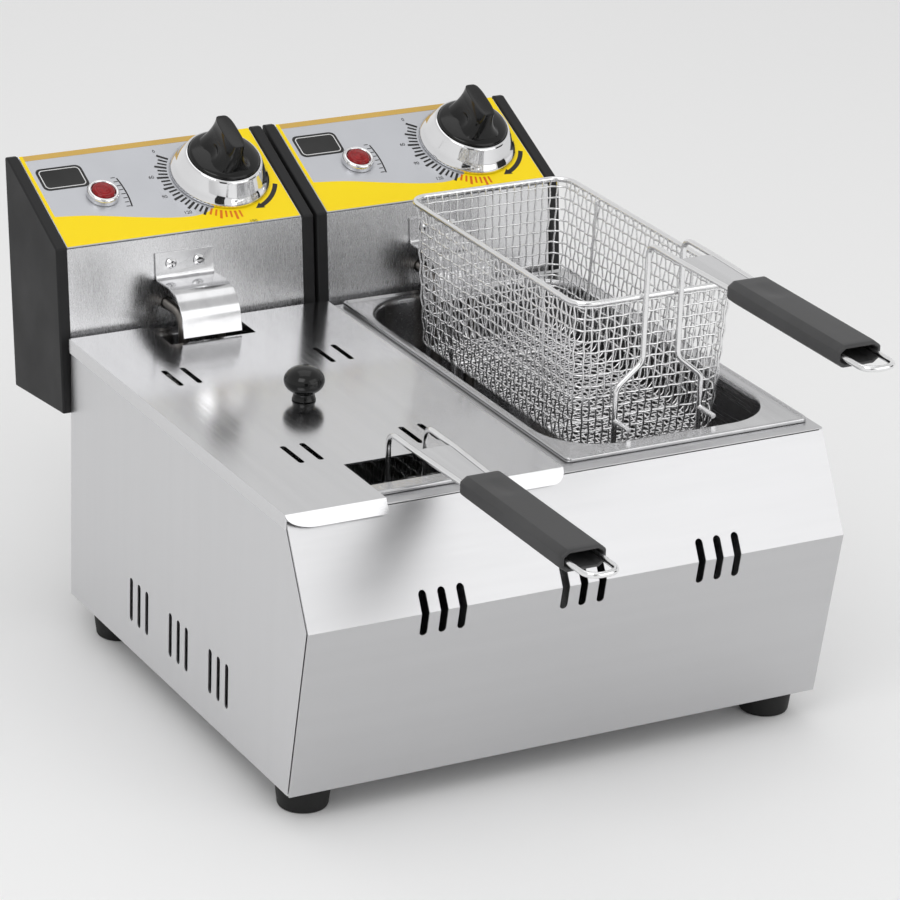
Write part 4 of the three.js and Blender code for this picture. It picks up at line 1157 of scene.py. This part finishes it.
def dial_print(place):
    """Marks and numbers round the knob, every third mark longer, and a turning arrow."""
    parts = []
    centre = KNOB_ON_PANEL / MM
    for i in range(DIAL_MARKS):
        angle = DIAL_START + i * DIAL_STEP
        inner, outer, half_width = (38.2, 45.0, 0.75) if i % 3 else (38.2, 47.0, 0.95)
        out = Vector(on_circle(angle))
        across = Vector((-out.y, out.x)) * half_width
        corners = [centre + out * inner - across, centre + out * outer - across,
                   centre + out * outer + across, centre + out * inner + across]
        mark = flat_shape("mark", [tuple(c) for c in corners], PRINT, place, INK_BASE)
        parts.append((mark, HEAT if angle > DIAL_HOT else BLACK))
    for text, angle, radius in DIAL_NUMBERS:
        parts.append((dial_number(text, angle, radius, place), BLACK))
    arrow = [dial_point(a, radius)
             for radius, angles in ((42.2, range(-24, -66, -4)), (38.8, range(-64, -23, 4)))
             for a in angles]
    parts.append((flat_shape("arrow", arrow, PRINT, place, INK_BASE), BLACK))
    tip = [dial_point(a, radius) for a, radius in ((-63, 37.2), (-72, 40.4), (-63, 43.6))]
    parts.append((flat_shape("tip", tip, PRINT, place, INK_BASE), BLACK))
    return parts


def lamp_scale(place):
    """A bowed line beside the lamp, with eight ticks."""
    def bow(up):
        return -1.6 * ((up - 48) / 16) ** 2

    parts = []
    for i in range(8):
        up = 33.5 + i * 4.3
        x = -27.5 + bow(up)
        tick = [(x - 3.2, up), (x, up), (x, up + 0.7), (x - 3.2, up + 0.7)]
        parts.append((flat_shape("tick", tick, PRINT, place, PRINT_BASE), BLACK))
    line = [(-26.6 + bow(up), up) for up in range(33, 65, 2)]
    outline = [(x + 0.55, y) for x, y in line] + [(x - 0.55, y) for x, y in reversed(line)]
    parts.append((flat_shape("scale", outline, PRINT, place, PRINT_BASE), BLACK))
    return parts


def window_print(place):
    """A plain dark window with a thin light line inside its edge."""
    def outline(half_x, half_y, corner):
        return ring_points(half_x, half_y, corner, WINDOW, 5)

    parts = [(flat_shape("plate", outline(17.5, 11.5, 4.5), PRINT, place, PRINT_BASE), BLACK)]
    outer, inner = outline(15.6, 9.6, 3.4), outline(14.9, 8.9, 2.8)
    for i in range(len(outer)):
        j = (i + 1) % len(outer)
        line = [outer[i], outer[j], inner[j], inner[i]]
        parts.append((flat_shape("line", line, PRINT, place, INK_BASE), WHITE))
    return parts


def build_panels():
    for side in SIDES:
        body = f"head_{side}"
        refined(f"fascia_label_{side}", body, "label_film", "silver film", 0.15 * MM, 1)
        place = panel_place(side)
        parts = [part for layer in (colour_bands, dial_print, lamp_scale, window_print)
                 for part in layer(place)]
        obj = object_of(
            f"panel_print_{side}", joined(f"panel_print_{side}", parts), "yellow film",
            "ochre film", "black ink", "heat ink", "white ink")
        give(obj, body, "label_film")


# ---------------------------------------------------------------- stage
LIGHTS = (  # name, place, point it faces, size, watts
    ("front softbox", (1.25, -2.2, 1.25), (0, 0, 0.15), 2.2, 13),
    ("key", (-1.5, -1.3, 2.3), (0, 0, 0.1), 1.5, 16),
    ("top", (0.2, 0.5, 2.6), (0, 0, 0.1), 1.8, 7),
)
DARK_CARDS = (  # name, place, width, height
    ("dark card near the camera", (-0.9, -3.0, 0.55), 1.1, 1.2),
    ("dark card at the right", (2.4, -1.0, 0.45), 1.1, 1.0),
)
CARD_FACES = (0, 0, 0.3)
FLOOR_HALF = 12
WORLD_LOW, WORLD_HIGH, WORLD_STRENGTH = 0.95, 0.72, 0.9  # grey below and above
CAMERA_ANGLES = (-28.72, 22.35, 2.04)  # azimuth, elevation and roll, in degrees
CAMERA_LENS = 164.99
CAMERA_SHIFT = (0.0221, 0.0262)
LOOK_IN, LOOK_UP = 160 * MM, 120 * MM  # point it looks at, from the deck's back and casing's foot


def aim(thing, place, towards):
    """Puts a thing in a place, with its -Z side towards a point."""
    thing.location = place
    thing.rotation_mode = "QUATERNION"
    thing.rotation_quaternion = (Vector(towards) - Vector(place)).to_track_quat("-Z", "Y")


def area_light(name, place, towards, size, power):
    data = bpy.data.lights.new(name, "AREA")
    data.shape = "RECTANGLE"
    data.size, data.size_y = size, size
    data.energy = power
    light = bpy.data.objects.new(name, data)
    bpy.context.scene.collection.objects.link(light)
    aim(light, place, towards)


def dark_card(name, place, width, height):
    """A dark sheet, hidden from the camera, so that bright metal has something to mirror."""
    x, y = width / 2, height / 2
    mesh = mesh_of(name, [(-x, -y, 0), (x, -y, 0), (x, y, 0), (-x, y, 0)], [[0, 1, 2, 3]])
    card = object_of(name.replace(" ", "_"), mesh, "black ink")
    aim(card, place, CARD_FACES)
    card.visible_camera = False


def build_floor():
    floor = bpy.data.meshes.new("floor")
    f = FLOOR_HALF
    floor.from_pydata([(-f, -f, 0), (f, -f, 0), (f, f, 0), (-f, f, 0)], [], [[0, 1, 2, 3]])
    material, tree, shader = principled("floor")
    speckle = group_node(tree, speckle_group(), grain_size=60.0, patch_size=0.7)
    rgb = tuple(colours().floor)
    tree.links.new(
        two_colours(tree, speckle.outputs["Patches"], rgb, darker(rgb, 0.99)),
        shader.inputs["Base Color"])
    shader.inputs["Roughness"].default_value = 0.9
    floor.materials.append(material)
    plane = bpy.data.objects.new("floor", floor)
    bpy.context.scene.collection.objects.link(plane)


def build_world():
    """Even grey surroundings, a little darker overhead."""
    world = bpy.data.worlds.new("studio")
    world.use_nodes = True
    nodes, link = world.node_tree.nodes, world.node_tree.links.new
    background = next(n for n in nodes if n.type == "BACKGROUND")
    place = nodes.new("ShaderNodeTexCoord")
    split = nodes.new("ShaderNodeSeparateXYZ")
    ramp = nodes.new("ShaderNodeValToRGB")
    stops = ((0.0, WORLD_LOW), (1.0, WORLD_HIGH))
    for element, (position, level) in zip(ramp.color_ramp.elements, stops):
        element.position = position
        element.color = (level, level, level, 1)
    link(place.outputs["Generated"], split.inputs[0])
    link(split.outputs["Z"], ramp.inputs["Fac"])
    link(ramp.outputs["Color"], background.inputs["Color"])
    background.inputs["Strength"].default_value = WORLD_STRENGTH
    bpy.context.scene.world = world
    bpy.context.scene.view_settings.view_transform = "Standard"


def build_stage():
    build_floor()
    build_world()
    for light in LIGHTS:
        area_light(*light)
    for card in DARK_CARDS:
        dark_card(*card)
    build_camera()


def build_camera():
    azimuth, elevation, roll = (math.radians(a) for a in CAMERA_ANGLES)
    back = Vector((math.sin(azimuth) * math.cos(elevation),
                   -math.cos(azimuth) * math.cos(elevation), math.sin(elevation)))
    right = Vector((math.cos(azimuth), math.sin(azimuth), 0))
    up = back.cross(right)
    level_right = right * math.cos(roll) + up * math.sin(roll)
    level_up = up * math.cos(roll) - right * math.sin(roll)
    low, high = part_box("deck_frame")
    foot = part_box("casing_back")[0].z
    target = Vector(((low.x + high.x) / 2, high.y - LOOK_IN, foot + LOOK_UP))
    data = bpy.data.cameras.new("camera")
    camera = bpy.data.objects.new("camera", data)
    bpy.context.scene.collection.objects.link(camera)
    data.sensor_width = 36
    data.lens = CAMERA_LENS
    data.shift_x, data.shift_y = CAMERA_SHIFT
    data.clip_start, data.clip_end = 0.05, 60
    camera.matrix_world = axes_matrix(
        level_right, level_up, back, target + back * sizes().camera_distance)
    bpy.context.scene.camera = camera


# ---------------------------------------------------------------- operators and panel
def operator(name, label, doc, build):
    """An operator class that builds one group of like pieces."""

    def execute(self, context):
        build()
        return {"FINISHED"}

    return type(
        f"FRYER_OT_{name}", (bpy.types.Operator,),
        {"bl_idname": f"fryer.{name}", "bl_label": label, "__doc__": doc,
         "bl_options": {"REGISTER", "UNDO"}, "execute": execute})


STEPS = (
    ("casing", "Casing", "Builds the folded casing panels, deck and brackets", build_casing),
    ("feet", "Feet", "Builds the four rubber feet", build_feet),
    ("tanks", "Tanks", "Builds the two pressed tanks", build_tanks),
    ("heaters", "Heaters", "Builds the heater tubes and sensor bulbs", build_heaters),
    ("baskets", "Baskets", "Builds the woven baskets with wires, straps and grips", build_baskets),
    ("lid", "Lid", "Builds the folded lid and its knob", build_lid),
    ("heads", "Control heads", "Builds the head sheets, cheeks, guards and screws", build_heads),
    ("panels", "Panels", "Builds the printed panels", build_panels),
    ("lamps", "Lamps", "Builds the pilot lamps", build_lamps),
    ("knobs", "Knobs", "Builds the thermostat knobs", build_knobs),
    ("rear_fittings", "Rear fittings", "Builds the cable glands", build_rear_fittings),
    ("stage", "Stage", "Builds the floor, lights and camera", build_stage),
)
OPERATORS = tuple(operator(*step) for step in STEPS)


class FRYER_PT_panel(bpy.types.Panel):
    """Lists the steps that build the fryer"""

    bl_idname = "FRYER_PT_panel"
    bl_label = "Twin Deep Fryer"
    bl_space_type = "VIEW_3D"
    bl_region_type = "UI"
    bl_category = "Fryer"

    def draw(self, context):
        layout = self.layout
        for group in (context.scene.fryer_sizes, context.scene.fryer_colours):
            column = layout.column()
            for name in group.bl_rna.properties.keys():
                if name not in ("rna_type", "name"):
                    column.prop(group, name)
        for step in STEPS:
            layout.operator(f"fryer.{step[0]}")


CLASSES = (FryerSizes, FryerColours, *OPERATORS, FRYER_PT_panel)


def register():
    for cls in CLASSES:
        bpy.utils.register_class(cls)
    bpy.types.Scene.fryer_sizes = PointerProperty(type=FryerSizes)
    bpy.types.Scene.fryer_colours = PointerProperty(type=FryerColours)


def unregister():
    del bpy.types.Scene.fryer_colours
    del bpy.types.Scene.fryer_sizes
    for cls in reversed(CLASSES):
        bpy.utils.unregister_class(cls)


def main():
    register()
    for step in STEPS:
        getattr(bpy.ops.fryer, step[0])()


if __name__ == "__main__":
    main()
